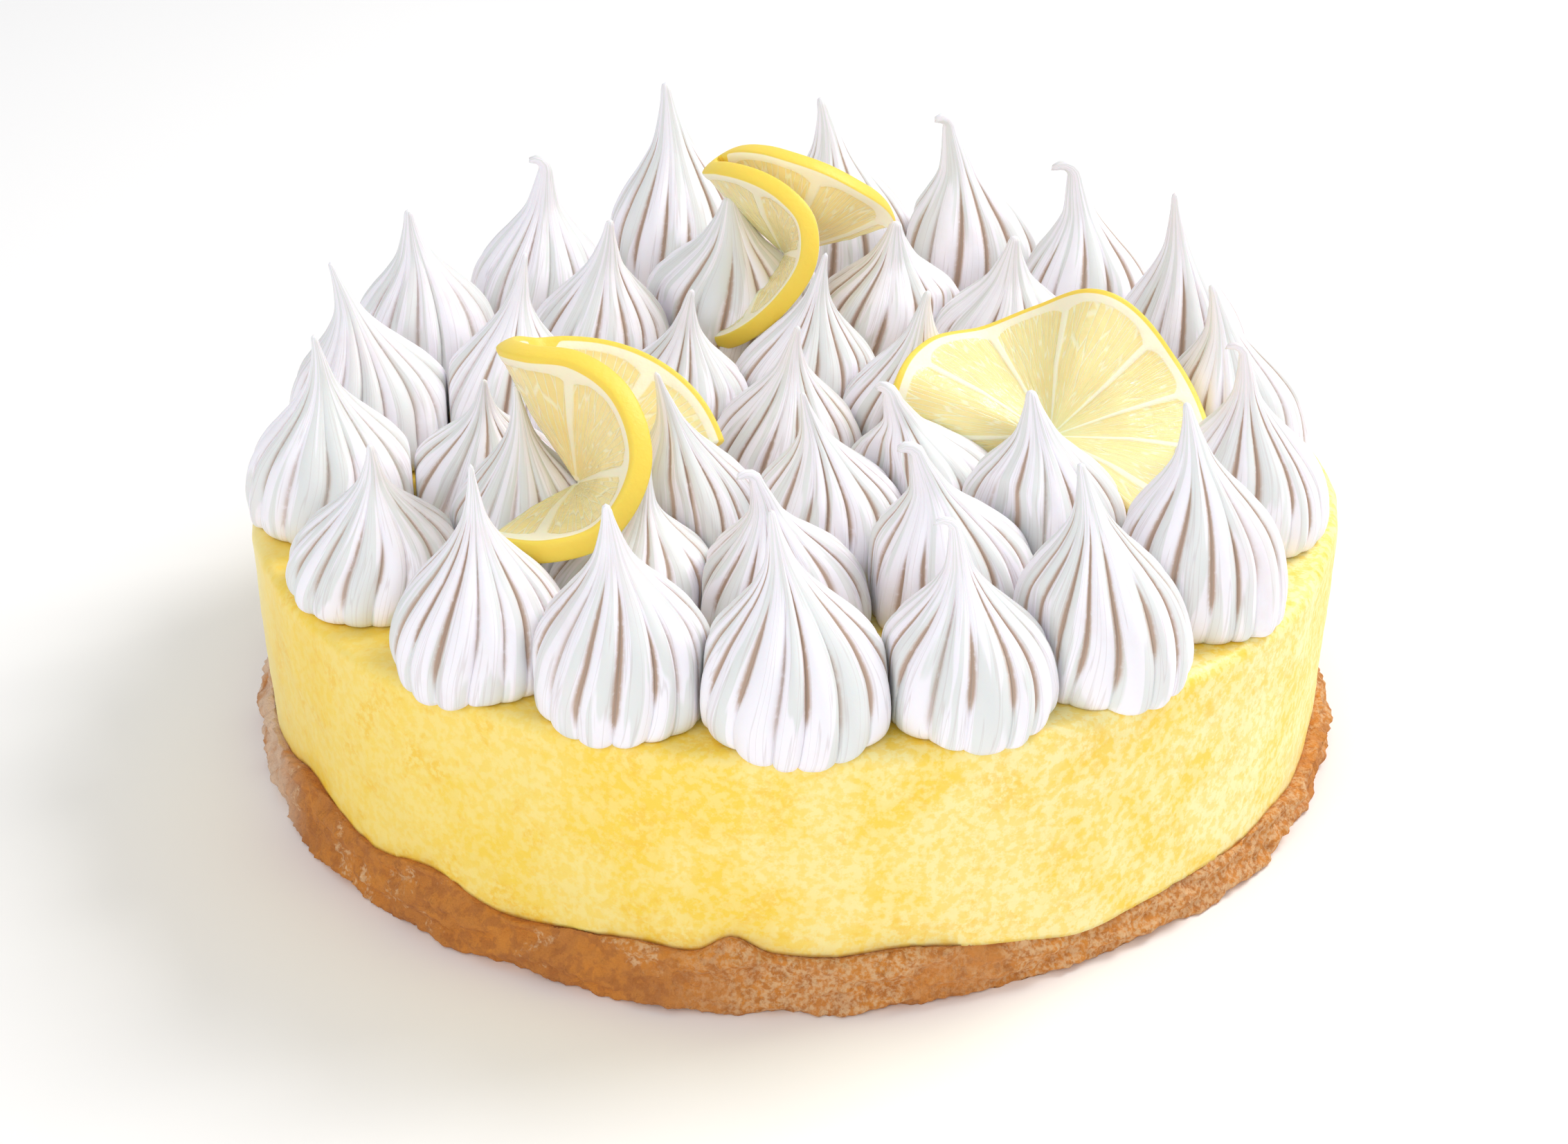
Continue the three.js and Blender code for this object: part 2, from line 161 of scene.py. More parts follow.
class RoundedPath:
    """A smooth curve through points, with the speed of a centripetal Catmull-Rom curve."""

    STEPS_PER_SPAN = 24

    def __init__(self, points: Sequence[Vector]) -> None:
        """Measures the curve.

        Args:
            points: The points that it runs through, in order.
        """
        self.points = [2 * points[0] - points[1], *points, 2 * points[-1] - points[-2]]
        self.spans = len(points) - 1
        steps = self.spans * self.STEPS_PER_SPAN
        self.samples = [self._at(self.spans * i / steps) for i in range(steps + 1)]
        self.lengths = [0.0]
        for here, there in zip(self.samples, self.samples[1:]):
            self.lengths.append(self.lengths[-1] + (there - here).length)

    def _at(self, place: float) -> Vector:
        """The point at a place counted in spans.

        Args:
            place: 0 at the first point, 1 at the second, and so on.

        Returns:
            The point on the curve.
        """
        span = min(int(place), self.spans - 1)
        share = place - span
        before, start, end, after = self.points[span : span + 4]
        steps = ((before, start), (start, end), (end, after))
        lead, main, tail = ((there - here).length ** 0.5 for here, there in steps)
        leave = (start - before) / lead - (end - before) / (lead + main) + (end - start) / main
        arrive = (end - start) / main - (after - start) / (main + tail) + (after - end) / tail
        leave, arrive = leave * main, arrive * main
        square = 3 * (end - start) - 2 * leave - arrive
        cube = 2 * (start - end) + leave + arrive
        return start + leave * share + square * share**2 + cube * share**3

    def at(self, share: float) -> Vector:
        """The point a share of the way along the curve's length.

        Args:
            share: 0 at the start, 1 at the end.

        Returns:
            The point on the curve.
        """
        wanted = share * self.lengths[-1]
        low, high = 0, len(self.lengths) - 1
        while high - low > 1:
            middle = (low + high) // 2
            low, high = (middle, high) if self.lengths[middle] <= wanted else (low, middle)
        step = self.lengths[high] - self.lengths[low]
        return self.samples[low].lerp(self.samples[high], (wanted - self.lengths[low]) / step)

    def heading(self, share: float) -> Vector:
        """The direction in which the curve runs at a share of its length."""
        reach = 1e-3
        return (self.at(min(1.0, share + reach)) - self.at(max(0.0, share - reach))).normalized()


class Surface:
    """A grid of faces that is wrapped into a closed shape, point by point."""

    def __init__(
        self, columns: int, rows: int, numbers: Sequence[str] = (), vectors: Sequence[str] = ()
    ) -> None:
        """Starts a flat grid.

        Args:
            columns: Faces along the first direction.
            rows: Faces along the second direction.
            numbers: Names of the numbers that its points will carry.
            vectors: Names of the vectors that its points will carry.
        """
        self.mesh = bmesh.new()
        for name in numbers:
            self.mesh.verts.layers.float.new(name)
        for name in vectors:
            self.mesh.verts.layers.float_vector.new(name)
        bmesh.ops.create_grid(self.mesh, x_segments=columns, y_segments=rows, size=0.5)
        self.spots = []
        for vert in self.mesh.verts:
            across, up = vert.co.x + 0.5, vert.co.y + 0.5
            self.spots.append((round(across * columns), round(up * rows), vert))

    def wrap(self, place: Callable[[int, int], Vector]) -> None:
        """Moves every point of the grid.

        Args:
            place: Gives the place of a point from its column and row.
        """
        for column, row, vert in self.spots:
            vert.co = place(column, row)

    def mark(self, name: str, value: Callable[[int, int], float | Vector]) -> None:
        """Stores a number or a vector on every point, for the finish to read.

        Args:
            name: The attribute's name.
            value: Gives it from a point's column and row.
        """
        kinds = self.mesh.verts.layers
        layer = kinds.float.get(name) or kinds.float_vector[name]
        for column, row, vert in self.spots:
            vert[layer] = value(column, row)

    def finish(self, name: str, material: bpy.types.Material) -> bpy.types.Object:
        """Closes the shape and makes an object of it.

        Args:
            name: The object's name.
            material: The finish of all its faces.

        Returns:
            The object, at the origin, with its place in its mesh.
        """
        bmesh.ops.remove_doubles(self.mesh, verts=self.mesh.verts, dist=SEAM_DISTANCE)
        open_edges = [edge for edge in self.mesh.edges if edge.is_boundary]
        bmesh.ops.holes_fill(self.mesh, edges=open_edges, sides=0)
        bmesh.ops.recalc_face_normals(self.mesh, faces=self.mesh.faces)
        bmesh.ops.scale(self.mesh, vec=(MM, MM, MM), verts=self.mesh.verts)
        data = bpy.data.meshes.new(name)
        self.mesh.to_mesh(data)
        self.mesh.free()
        data.shade_smooth()
        data.materials.append(material)
        return add_object(name, data)


def place_piece(piece: bpy.types.Object, node: str, slot: Slot) -> None:
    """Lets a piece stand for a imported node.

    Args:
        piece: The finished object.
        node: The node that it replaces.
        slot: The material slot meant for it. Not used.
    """
    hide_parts(node)
    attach(piece, ROOT_BODY)
    log.info("%s: %d faces for %s", piece.name, len(piece.data.polygons), node)


# ---- shaders ----


class Shader:
    """A node tree with short ways to add nodes and join them."""

    def __init__(self, tree: bpy.types.NodeTree, kit: ShaderKit | None = None) -> None:
        """Takes hold of a tree.

        Args:
            tree: The material's or group's node tree.
            kit: The shared shader groups that it may place.
        """
        self.tree = tree
        self.kit = kit

    def add(self, kind: str, feeds: dict | None = None, **settings) -> bpy.types.Node:
        """Adds a node.

        Args:
            kind: The node's type name.
            feeds: What goes into its sockets: a socket to link or a plain value, by name or number.
            **settings: The node's own properties.

        Returns:
            The new node.
        """
        node = self.tree.nodes.new(kind)
        for name, value in settings.items():
            setattr(node, name, value)
        self.feed(node, feeds or {})
        return node

    def feed(self, node: bpy.types.Node, feeds: dict) -> None:
        """Feeds a node's sockets.

        Args:
            node: The node.
            feeds: What goes into its sockets: a socket to link or a plain value, by name or number.
        """
        for name, value in feeds.items():
            if isinstance(value, bpy.types.NodeSocket):
                self.tree.links.new(value, node.inputs[name])
            else:
                node.inputs[name].default_value = value

    def place(self) -> bpy.types.NodeSocket:
        """The object coordinates."""
        return self.add("ShaderNodeTexCoord").outputs["Object"]

    def stored(self, name: str) -> dict[str, bpy.types.NodeSocket]:
        """What a mesh carries under a name, as a number under Fac and a vector under Vector."""
        return self.add("ShaderNodeAttribute", attribute_name=name).outputs

    def parts(self, vector: Feed) -> dict[str, bpy.types.NodeSocket]:
        """The X, Y and Z of a vector."""
        return self.add("ShaderNodeSeparateXYZ", {0: vector}).outputs

    def stretch(self, vector: Feed, factors: Feed) -> bpy.types.NodeSocket:
        """Multiplies a vector's X, Y and Z, each by its own factor."""
        return self.add("ShaderNodeVectorMath", {0: vector, 1: factors}, operation="MULTIPLY").outputs[0]

    def cloud(
        self, place: Feed, scale: Feed, detail: float = 2.0, roughness: float = 0.5
    ) -> bpy.types.NodeSocket:
        """Cloudy noise.

        Args:
            place: Where it is read.
            scale: How small it is.
            detail: How many finer clouds are laid over it.
            roughness: How strong the finer ones are.

        Returns:
            Its value, round 0.5.
        """
        feeds = {"Vector": place, "Scale": scale, "Detail": detail, "Roughness": roughness}
        return self.add("ShaderNodeTexNoise", feeds).outputs["Fac"]

    def cells(self, place: Feed, feature: str) -> bpy.types.Node:
        """A flat pattern of cells, and what it tells of them."""
        feeds = {"Vector": place, "Scale": 1.0}
        return self.add("ShaderNodeTexVoronoi", feeds, voronoi_dimensions="2D", feature=feature)

    def math(self, operation: str, first: Feed, second: Feed = 0.0) -> bpy.types.NodeSocket:
        """Does a sum on two values and gives the result."""
        return self.add("ShaderNodeMath", {0: first, 1: second}, operation=operation).outputs[0]

    def add_scaled(self, value: Feed, factor: Feed, offset: Feed) -> bpy.types.NodeSocket:
        """Multiplies a value and adds an offset."""
        feeds = {0: value, 1: factor, 2: offset}
        return self.add("ShaderNodeMath", feeds, operation="MULTIPLY_ADD").outputs[0]

    def blend(self, share: Feed, first: Feed, second: Feed) -> bpy.types.NodeSocket:
        """Mixes two colours, which are the node's sockets 6 and 7, and gives the result."""
        feeds = {0: share, 6: first, 7: second}
        return self.add("ShaderNodeMix", feeds, data_type="RGBA").outputs[2]

    def step(
        self, value: Feed, low: Feed, high: Feed, to: tuple[float, float] = (0.0, 1.0)
    ) -> bpy.types.NodeSocket:
        """Rises or falls smoothly while a value goes from low to high.

        Args:
            value: The value that is read.
            low: Where the step begins.
            high: Where it ends.
            to: What it gives before and after the step.

        Returns:
            The step's socket.
        """
        feeds = {"Value": value, "From Min": low, "From Max": high, "To Min": to[0], "To Max": to[1]}
        return self.add("ShaderNodeMapRange", feeds, interpolation_type="SMOOTHSTEP").outputs[0]

    def group(self, tree: bpy.types.NodeTree, feeds: dict) -> bpy.types.NodeSocket:
        """Places a node group.

        Args:
            tree: The group.
            feeds: What goes into its inputs: a socket to link or a plain value, by name.

        Returns:
            Its first output.
        """
        return self.add("ShaderNodeGroup", feeds, node_tree=tree).outputs[0]


class ShaderKit:
    """The shader groups that several finishes share, each built once."""

    MOTTLE_DETAIL = 6.0
    MOTTLE_ROUGHNESS = 0.62
    GRAIN_RATIO = 4.3

    def __init__(self) -> None:
        """Builds the groups."""
        self.mottle = self._mottle()
        self.grain = self._grain()
        self.streaks = self._streaks()

    @staticmethod
    def _new(
        name: str, inputs: Sequence[tuple[str, str, Feed | None]], output: str
    ) -> bpy.types.NodeTree:
        """Starts a group with its sockets.

        Args:
            name: The group's name.
            inputs: Name, socket type and default value of each input.
            output: The name of its one output, a value.

        Returns:
            The empty group.
        """
        tree = bpy.data.node_groups.new(name, "ShaderNodeTree")
        for label, kind, value in inputs:
            socket = tree.interface.new_socket(name=label, in_out="INPUT", socket_type=kind)
            if value is not None:
                socket.default_value = value
        tree.interface.new_socket(name=output, in_out="OUTPUT", socket_type="NodeSocketFloat")
        return tree

    def _mottle(self) -> bpy.types.NodeTree:
        """Builds soft-edged patches from cloudy noise.

        Returns:
            The group, which puts out a mask.
        """
        inputs = [
            ("Vector", "NodeSocketVector", None),
            ("Scale", "NodeSocketFloat", 100.0),
            ("Low", "NodeSocketFloat", 0.4),
            ("High", "NodeSocketFloat", 0.6),
        ]
        tree = self._new("mottle", inputs, "Mask")
        shader = Shader(tree)
        ends = shader.add("NodeGroupInput").outputs
        cloud = shader.cloud(ends["Vector"], ends["Scale"], self.MOTTLE_DETAIL, self.MOTTLE_ROUGHNESS)
        shader.add("NodeGroupOutput", {"Mask": shader.step(cloud, ends["Low"], ends["High"])})
        return tree

    def _grain(self) -> bpy.types.NodeTree:
        """Builds fine relief from two sizes of noise.

        Returns:
            The group, which puts out a height.
        """
        inputs = [
            ("Vector", "NodeSocketVector", None),
            ("Scale", "NodeSocketFloat", 500.0),
            ("Fine", "NodeSocketFloat", 0.4),
        ]
        tree = self._new("grain", inputs, "Height")
        shader = Shader(tree)
        ends = shader.add("NodeGroupInput").outputs
        broad = shader.cloud(ends["Vector"], ends["Scale"])
        fine = shader.cloud(ends["Vector"], shader.math("MULTIPLY", ends["Scale"], self.GRAIN_RATIO))
        shader.add("NodeGroupOutput", {"Height": shader.add_scaled(fine, ends["Fine"], broad)})
        return tree

    def _streaks(self) -> bpy.types.NodeTree:
        """Builds long streaks from noise that is drawn out along one direction.

        Returns:
            The group, which puts out a mask.
        """
        inputs = [
            ("Vector", "NodeSocketVector", None),
            ("Stretch", "NodeSocketVector", (10.0, 10.0, 1.0)),
            ("Low", "NodeSocketFloat", 0.4),
            ("High", "NodeSocketFloat", 0.6),
        ]
        tree = self._new("streaks", inputs, "Mask")
        shader = Shader(tree)
        ends = shader.add("NodeGroupInput").outputs
        cloud = shader.cloud(shader.stretch(ends["Vector"], ends["Stretch"]), 1.0)
        shader.add("NodeGroupOutput", {"Mask": shader.step(cloud, ends["Low"], ends["High"])})
        return tree


class Finish:
    """A material whose Principled shader a subclass feeds."""

    name = "finish"

    def build(self, kit: ShaderKit) -> bpy.types.Material:
        """Makes the material.

        Args:
            kit: The shared shader groups.

        Returns:
            The finished material.
        """
        material = bpy.data.materials.new(self.name)
        material.use_nodes = True
        shader = Shader(material.node_tree, kit)
        shader.feed(material.node_tree.nodes["Principled BSDF"], self.feeds(shader))
        return material

    def feeds(self, shader: Shader) -> dict[str, Feed]:
        """What goes into the Principled shader. Each finish has its own way."""
        raise NotImplementedError


@dataclass(frozen=True)
class Patches:
    """Soft patches: the noise's scale, the values between which they fade in, and their strength."""

    scale: float
    low: float
    high: float
    strength: float = 1.0

    def mask(self, shader: Shader, place: Feed) -> bpy.types.NodeSocket:
        """Places the patches and gives their mask."""
        feeds = {"Vector": place, "Scale": self.scale, "Low": self.low, "High": self.high}
        return shader.math("MULTIPLY", shader.group(shader.kit.mottle, feeds), self.strength)


@dataclass(frozen=True)
class Streaks:
    """Long streaks: the noise's scale each way, where they fade in, and their strength."""

    stretch: tuple[float, float, float]
    low: float
    high: float
    strength: float = 1.0

    def mask(self, shader: Shader, place: Feed) -> bpy.types.NodeSocket:
        """Places the streaks and gives their mask."""
        feeds = {"Vector": place, "Stretch": self.stretch, "Low": self.low, "High": self.high}
        return shader.math("MULTIPLY", shader.group(shader.kit.streaks, feeds), self.strength)


@dataclass(frozen=True)
class Grain:
    """Fine relief: the noise's scale, its finer part's share, and the bump's strength and depth in m."""

    scale: float
    fine: float
    strength: float
    depth: float

    def height(self, shader: Shader, place: Feed) -> bpy.types.NodeSocket:
        """Places the noise and gives its height."""
        return shader.group(shader.kit.grain, {"Vector": place, "Scale": self.scale, "Fine": self.fine})

    def bump(self, shader: Shader, height: Feed) -> bpy.types.NodeSocket:
        """Turns a height into the normal of a bump."""
        feeds = {"Height": height, "Strength": self.strength, "Distance": self.depth}
        return shader.add("ShaderNodeBump", feeds).outputs[0]


@dataclass(frozen=True)
class MeringueFinish(Finish):
    """Smooth white meringue: lilac ribs with cooler streaks of painted shade, thin hairlines of painted
    shade, and taupe painted shade in the narrow grooves.
    """

    name: str = "meringue"
    white: Colour = paint(251, 248, 255)
    # cool: streaks of painted shade, laid along the ribs at random
    cool: Colour = paint(230, 233, 231)
    # taupe: painted shade in the grooves, laid over the shading that the carved grooves get from the
    # lamps
    taupe: Colour = paint(196, 171, 153)
    blush: Colour = paint(240, 231, 233)
    # hairline: thin lines of painted shade that stand for fine creases
    hairline: Colour = paint(208, 199, 198)
    ribs: Streaks = Streaks((4.2, 4.2, 1.3), 0.49, 0.54, 0.9)
    patches: Patches = Patches(45.0, 0.5, 0.72, 0.6)
    hairs: Streaks = Streaks((9.0, 9.0, 0.9), 0.0, 1.0)
    hair_width: float = 0.04
    hair_strength: float = 0.4
    ragged: Patches = Patches(800.0, 0.3, 0.52, 0.35)
    full_groove: float = 0.85
    grain: Grain = Grain(420.0, 0.35, 0.35, 0.0002)
    roughness: float = 0.5
    glow: float = 0.12
    glow_depth: float = 0.002

    def feeds(self, shader: Shader) -> dict[str, Feed]:
        """Paints streaks of painted shade along the ribs, thin hairlines of painted shade, and painted
        shade in the grooves between them.

        Args:
            shader: The material's tree.

        Returns:
            What goes into the Principled shader.
        """
        place = shader.place()
        fibre = shader.stored("fibre")["Vector"]
        # streaks of painted shade along the ribs
        colour = shader.blend(self.ribs.mask(shader, fibre), self.white, self.cool)
        colour = shader.blend(self.patches.mask(shader, place), colour, self.blush)
        # thin hairlines of painted shade that stand for fine creases
        middle = shader.math("SUBTRACT", self.hairs.mask(shader, fibre), 0.5)
        away = shader.math("ABSOLUTE", middle)
        hair = shader.step(away, 0.0, self.hair_width, (self.hair_strength, 0.0))
        colour = shader.blend(hair, colour, self.hairline)
        # painted shade in the grooves: the taupe, broken into ragged strokes
        ragged = shader.math("ADD", self.ragged.mask(shader, place), 1.0 - self.ragged.strength)
        groove_shade = shader.math("MULTIPLY", ragged, shader.stored("groove")["Fac"])
        colour = shader.blend(shader.step(groove_shade, 0.0, self.full_groove), colour, self.taupe)
        return {
            "Base Color": colour,
            "Roughness": self.roughness,
            "Subsurface Weight": self.glow,
            "Subsurface Scale": self.glow_depth,
            "Normal": self.grain.bump(shader, self.grain.height(shader, place)),
        }


@dataclass(frozen=True)
class FillingFinish(Finish):
    """Set lemon filling: warm yellow clouded with paler patches, which grow towards the right as painted
    light, deeper patches that grow towards the left as painted shade, a painted highlight down the far
    left, fine pores and a soft sheen.
    """

    name: str = "lemon filling"
    yellow: Colour = paint(254, 216, 74)
    pale: Colour = paint(255, 243, 178)
    deep: Colour = paint(252, 206, 62)
    # places along X in metres, between which a share goes from its first value to its second
    left: float = -0.1
    right: float = 0.09
    clouds: Patches = Patches(60.0, 0.4, 0.58, 0.5)
    flecks: Patches = Patches(620.0, 0.41, 0.57, 0.6)
    # how strong the pale patches are from left to right: painted light that grows towards the right
    pale_share: tuple[float, float] = (0.28, 0.93)
    dark: Patches = Patches(130.0, 0.5, 0.64)
    specks: Patches = Patches(800.0, 0.42, 0.58)
    # how strong the deep patches are from left to right: painted shade that grows towards the left
    dark_share: tuple[float, float] = (0.9, 0.5)
    # a painted highlight down the far left of the filling: where it fades out along X, and its share
    side_highlight: tuple[float, float] = (-0.101, -0.088)
    side_highlight_share: float = 0.75
    grain: Grain = Grain(350.0, 0.5, 0.3, 0.0003)
    roughness: float = 0.42
    glow: float = 0.1
    glow_depth: float = 0.002

    def feeds(self, shader: Shader) -> dict[str, Feed]:
        """Paints broad clouds and fine flecks, paler towards the right as painted light and deeper
        towards the left as painted shade, with a painted highlight down the far left.

        Args:
            shader: The material's tree.

        Returns:
            What goes into the Principled shader.
        """
        place = shader.place()
        across = shader.parts(place)["X"]
        clouds, flecks = self.clouds.mask(shader, place), self.flecks.mask(shader, place)
        # painted light: the pale clouds and flecks grow stronger towards the right
        paleness = shader.step(across, self.left, self.right, self.pale_share)
        pale = shader.math("MULTIPLY", shader.math("ADD", clouds, flecks), paleness)
        colour = shader.blend(pale, self.yellow, self.pale)
        dark, specks = self.dark.mask(shader, place), self.specks.mask(shader, place)
        # painted shade: the deep patches grow stronger towards the left
        darkness = shader.step(across, self.left, self.right, self.dark_share)
        deep = shader.math("MULTIPLY", shader.math("MULTIPLY", dark, specks), darkness)
        colour = shader.blend(deep, colour, self.deep)
        # a painted highlight down the far left
        edge = shader.step(across, *self.side_highlight, (self.side_highlight_share, 0.0))
        return {
            "Base Color": shader.blend(edge, colour, self.pale),
            "Roughness": self.roughness,
            "Subsurface Weight": self.glow,
            "Subsurface Scale": self.glow_depth,
            "Normal": self.grain.bump(shader, self.grain.height(shader, place)),
        }


@dataclass(frozen=True)
class CrustFinish(Finish):
    """Browned crumb: a darker, slightly redder brown at the left and a lighter one at the right, with
    pale flecks, a painted highlight at the far left and a rough grain.
    """

    name: str = "crumb crust"
    brown: Colour = paint(191, 122, 55)
    light: Colour = paint(202, 131, 62)
    orange: Colour = paint(210, 134, 50)
    dark: Colour = paint(160, 95, 46)
    fleck: Colour = paint(224, 184, 138)
    # crumb_highlight: a pale painted highlight in patches down the far left of the crust
    crumb_highlight: Colour = paint(226, 198, 172)
    # places along X in metres: where the left side's look gives way, and where the painted highlight at
    # the far left fades out
    left: float = -0.03
    right: float = 0.0
    crumb_highlight_edge: tuple[float, float] = (-0.096, -0.085)
    warm: Patches = Patches(70.0, 0.42, 0.6, 0.8)
    crumbs: Patches = Patches(420.0, 0.46, 0.6, 0.5)
    flecks: Patches = Patches(1100.0, 0.4, 0.62)
    few: Patches = Patches(110.0, 0.57, 0.63, 0.85)
    many: Patches = Patches(34.0, 0.38, 0.56, 0.8)
    crumb_highlight_patches: Patches = Patches(110.0, 0.3, 0.52, 0.85)
    grain: Grain = Grain(600.0, 0.6, 0.8, 0.0006)
    roughness: float = 0.88

    def feeds(self, shader: Shader) -> dict[str, Feed]:
        """Paints crumbs of several browns, with few pale flecks at the left and many at the right, and a
        painted highlight in patches at the far left.

        Args:
            shader: The material's tree.

        Returns:
            What goes into the Principled shader.
        """
        place = shader.place()
        across = shader.parts(place)["X"]
        side = shader.step(across, self.left, self.right)
        colour = shader.blend(side, self.brown, self.light)
        colour = shader.blend(self.warm.mask(shader, place), colour, self.orange)
        colour = shader.blend(self.crumbs.mask(shader, place), colour, self.dark)
        few = self.few.mask(shader, place)
        more = shader.math("SUBTRACT", self.many.mask(shader, place), few)
        dust = shader.add_scaled(side, more, few)
        dusted = shader.math("MULTIPLY", self.flecks.mask(shader, place), dust)
        colour = shader.blend(dusted, colour, self.fleck)
        # a painted highlight in patches down the far left
        end = shader.step(across, *self.crumb_highlight_edge, (1.0, 0.0))
        crumb_highlight = shader.math("MULTIPLY", end, self.crumb_highlight_patches.mask(shader, place))
        return {
            "Base Color": shader.blend(crumb_highlight, colour, self.crumb_highlight),
            "Roughness": self.roughness,
            "Normal": self.grain.bump(shader, self.grain.height(shader, place)),
        }


@dataclass(frozen=True)
class CitrusPattern:
    """How a cut lemon is divided, in mm: the membranes between its segments and the pith round them."""

    segment_angle: float = 0.75
    membrane: float = 0.1
    membrane_spread: float = 0.034
    pith: float = 1.5
    corner: float = 2.5
    corner_power: float = 4.0
    core: float = 1.4
    core_fade: float = 0.5
    soft: float = 0.18
    soft_relief: float = 0.3

    def pith_share(self, segment: float, out: float, inset: float) -> float:
        """How much pith or membrane there is, where the rest is flesh.

        Args:
            segment: Place round the fruit, counted in segments from a membrane.
            out: Distance from the centre.
            inset: Distance inwards from the rind.

        Returns:
            0 in the flesh, 1 in pith, membrane and rind.
        """
        near = abs((segment + 0.5) % 1 - 0.5)
        wall = near * self.segment_angle * out - self.membrane - self.membrane_spread * out
        edge = inset - self.pith - self.corner * (1 - 2 * near) ** self.corner_power
        beside = ease(self.soft_relief, -self.soft_relief, min(wall, edge))
        return max(beside, ease(self.core + self.core_fade, self.core, out))


@dataclass(frozen=True)
class LemonFinish(Finish):
    """A slice of lemon: waxy rind, cream pith and membranes, and moist flesh in segments."""

    name: str = "lemon slice"
    rind: Colour = paint(251, 219, 84)
    pith: Colour = paint(255, 247, 216)
    flesh: Colour = paint(255, 238, 172)
    honey: Colour = paint(249, 224, 148)
    fibre: Colour = paint(255, 249, 212)
    pattern: CitrusPattern = CitrusPattern()
    # the juice sacs, as cells counted per segment and per mm, with their walls and tones
    sac_grid: tuple[float, float, float] = (19.0, 0.11, 0.0)
    sac_wall: tuple[float, float] = (0.02, 0.12)
    wall_strength: float = 0.75
    sac_tone: float = 0.3
    clouds: Patches = Patches(90.0, 0.35, 0.65, 0.45)
    skin_edge: float = 0.12
    pores: Grain = Grain(900.0, 0.2, 0.4, 0.0003)
    roughness: float = 0.5
    wet_roughness: float = 0.22
    glow: float = 0.35
    glow_depth: float = 0.004

    def feeds(self, shader: Shader) -> dict[str, Feed]:
        """Paints rind, pith, membranes and flesh from each point's place round and across the slice.

        Args:
            shader: The material's tree.

        Returns:
            What goes into the Principled shader.
        """
        place = shader.place()
        section = shader.stored("section")["Vector"]
        parts = shader.parts(section)
        pith = self.pith_mask(shader, parts["X"], parts["Y"], parts["Z"])
        grid = shader.stretch(section, self.sac_grid)
        tone = shader.parts(shader.cells(grid, "F1").outputs["Color"])["X"]
        apart = shader.cells(grid, "DISTANCE_TO_EDGE").outputs["Distance"]
        wall = shader.step(apart, *self.sac_wall, (1.0, 0.0))
        shade = shader.add_scaled(tone, self.sac_tone, self.clouds.mask(shader, place))
        colour = shader.blend(shade, self.flesh, self.honey)
        colour = shader.blend(shader.math("MULTIPLY", wall, self.wall_strength), colour, self.fibre)
        colour = shader.blend(pith, colour, self.pith)
        skin = shader.step(parts["Z"], -self.skin_edge, self.skin_edge, (1.0, 0.0))
        dents = shader.math("MULTIPLY", wall, shader.math("SUBTRACT", pith, 1.0))
        relief = shader.math("ADD", dents, self.pores.height(shader, place))
        return {
            "Base Color": shader.blend(skin, colour, self.rind),
            "Roughness": shader.step(pith, 0.0, 1.0, (self.wet_roughness, self.roughness)),
            "Subsurface Weight": self.glow,
            "Subsurface Scale": self.glow_depth,
            "Normal": self.pores.bump(shader, relief),
        }

    def pith_mask(self, shader: Shader, segment: Feed, out: Feed, inset: Feed) -> bpy.types.NodeSocket:
        """Masks the pith and the membranes, as CitrusPattern.pith_share does for the relief.

        Args:
            shader: The material's tree.
            segment: Place round the fruit, counted in segments from a membrane.
            out: Distance from the centre in mm.
            inset: Distance inwards from the rind in mm.

        Returns:
            The mask's socket.
        """
        fruit = self.pattern
        near = shader.math("PINGPONG", segment, 0.5)
        away = shader.math("MULTIPLY", shader.math("MULTIPLY", near, fruit.segment_angle), out)
        width = shader.add_scaled(out, fruit.membrane_spread, fruit.membrane)
        membrane = shader.step(shader.math("SUBTRACT", away, width), -fruit.soft, fruit.soft, (1.0, 0.0))
        side = shader.math("SUBTRACT", 1.0, shader.math("MULTIPLY", near, 2.0))
        corner = shader.math("POWER", side, fruit.corner_power)
        edge = shader.add_scaled(corner, fruit.corner, fruit.pith)
        outer = shader.step(shader.math("SUBTRACT", inset, edge), -fruit.soft, fruit.soft, (1.0, 0.0))
        core = shader.step(out, fruit.core, fruit.core + fruit.core_fade, (1.0, 0.0))
        return shader.math("MAXIMUM", shader.math("MAXIMUM", membrane, outer), core)


@dataclass(frozen=True)
class FloorFinish(Finish):
    """A plain pale surface for the pie to stand on."""

    name: str = "pale floor"
    colour: Colour = paint(252, 251, 250)
    roughness: float = 0.9

    def feeds(self, shader: Shader) -> dict[str, Feed]:
        """One pale matte colour."""
        return {"Base Color": self.colour, "Roughness": self.roughness}


# ---- crust and filling ----


@dataclass(frozen=True)
class Wave:
    """A wave round the pie: its count, its turn per mm of height, its start and its share."""

    count: int
    climb: float
    phase: float
    size: float

    def at(self, angle: float, height: float) -> float:
        """The wave's value at an angle in radians and a height in mm."""
        return self.size * math.sin(self.count * angle + self.climb * height + self.phase)


@dataclass(frozen=True)
class Swell:
    """A place where the crust swells or shrinks: bearing and half width in degrees, rise and reach."""

    bearing: float
    width: float
    rise: float
    reach: float

    def strength(self, bearing: float) -> float:
        """How much of the swell there is at a bearing."""
        return math.exp(-((turn_between(bearing, self.bearing) / self.width) ** 2))


@dataclass(frozen=True)
class Dents:
    """Soft dents: their size and their depth in mm."""

    size: float
    depth: float

    def at(self, spot: Vector) -> float:
        """How far the surface stands out at a spot."""
        return self.depth * noise.noise(spot / self.size)


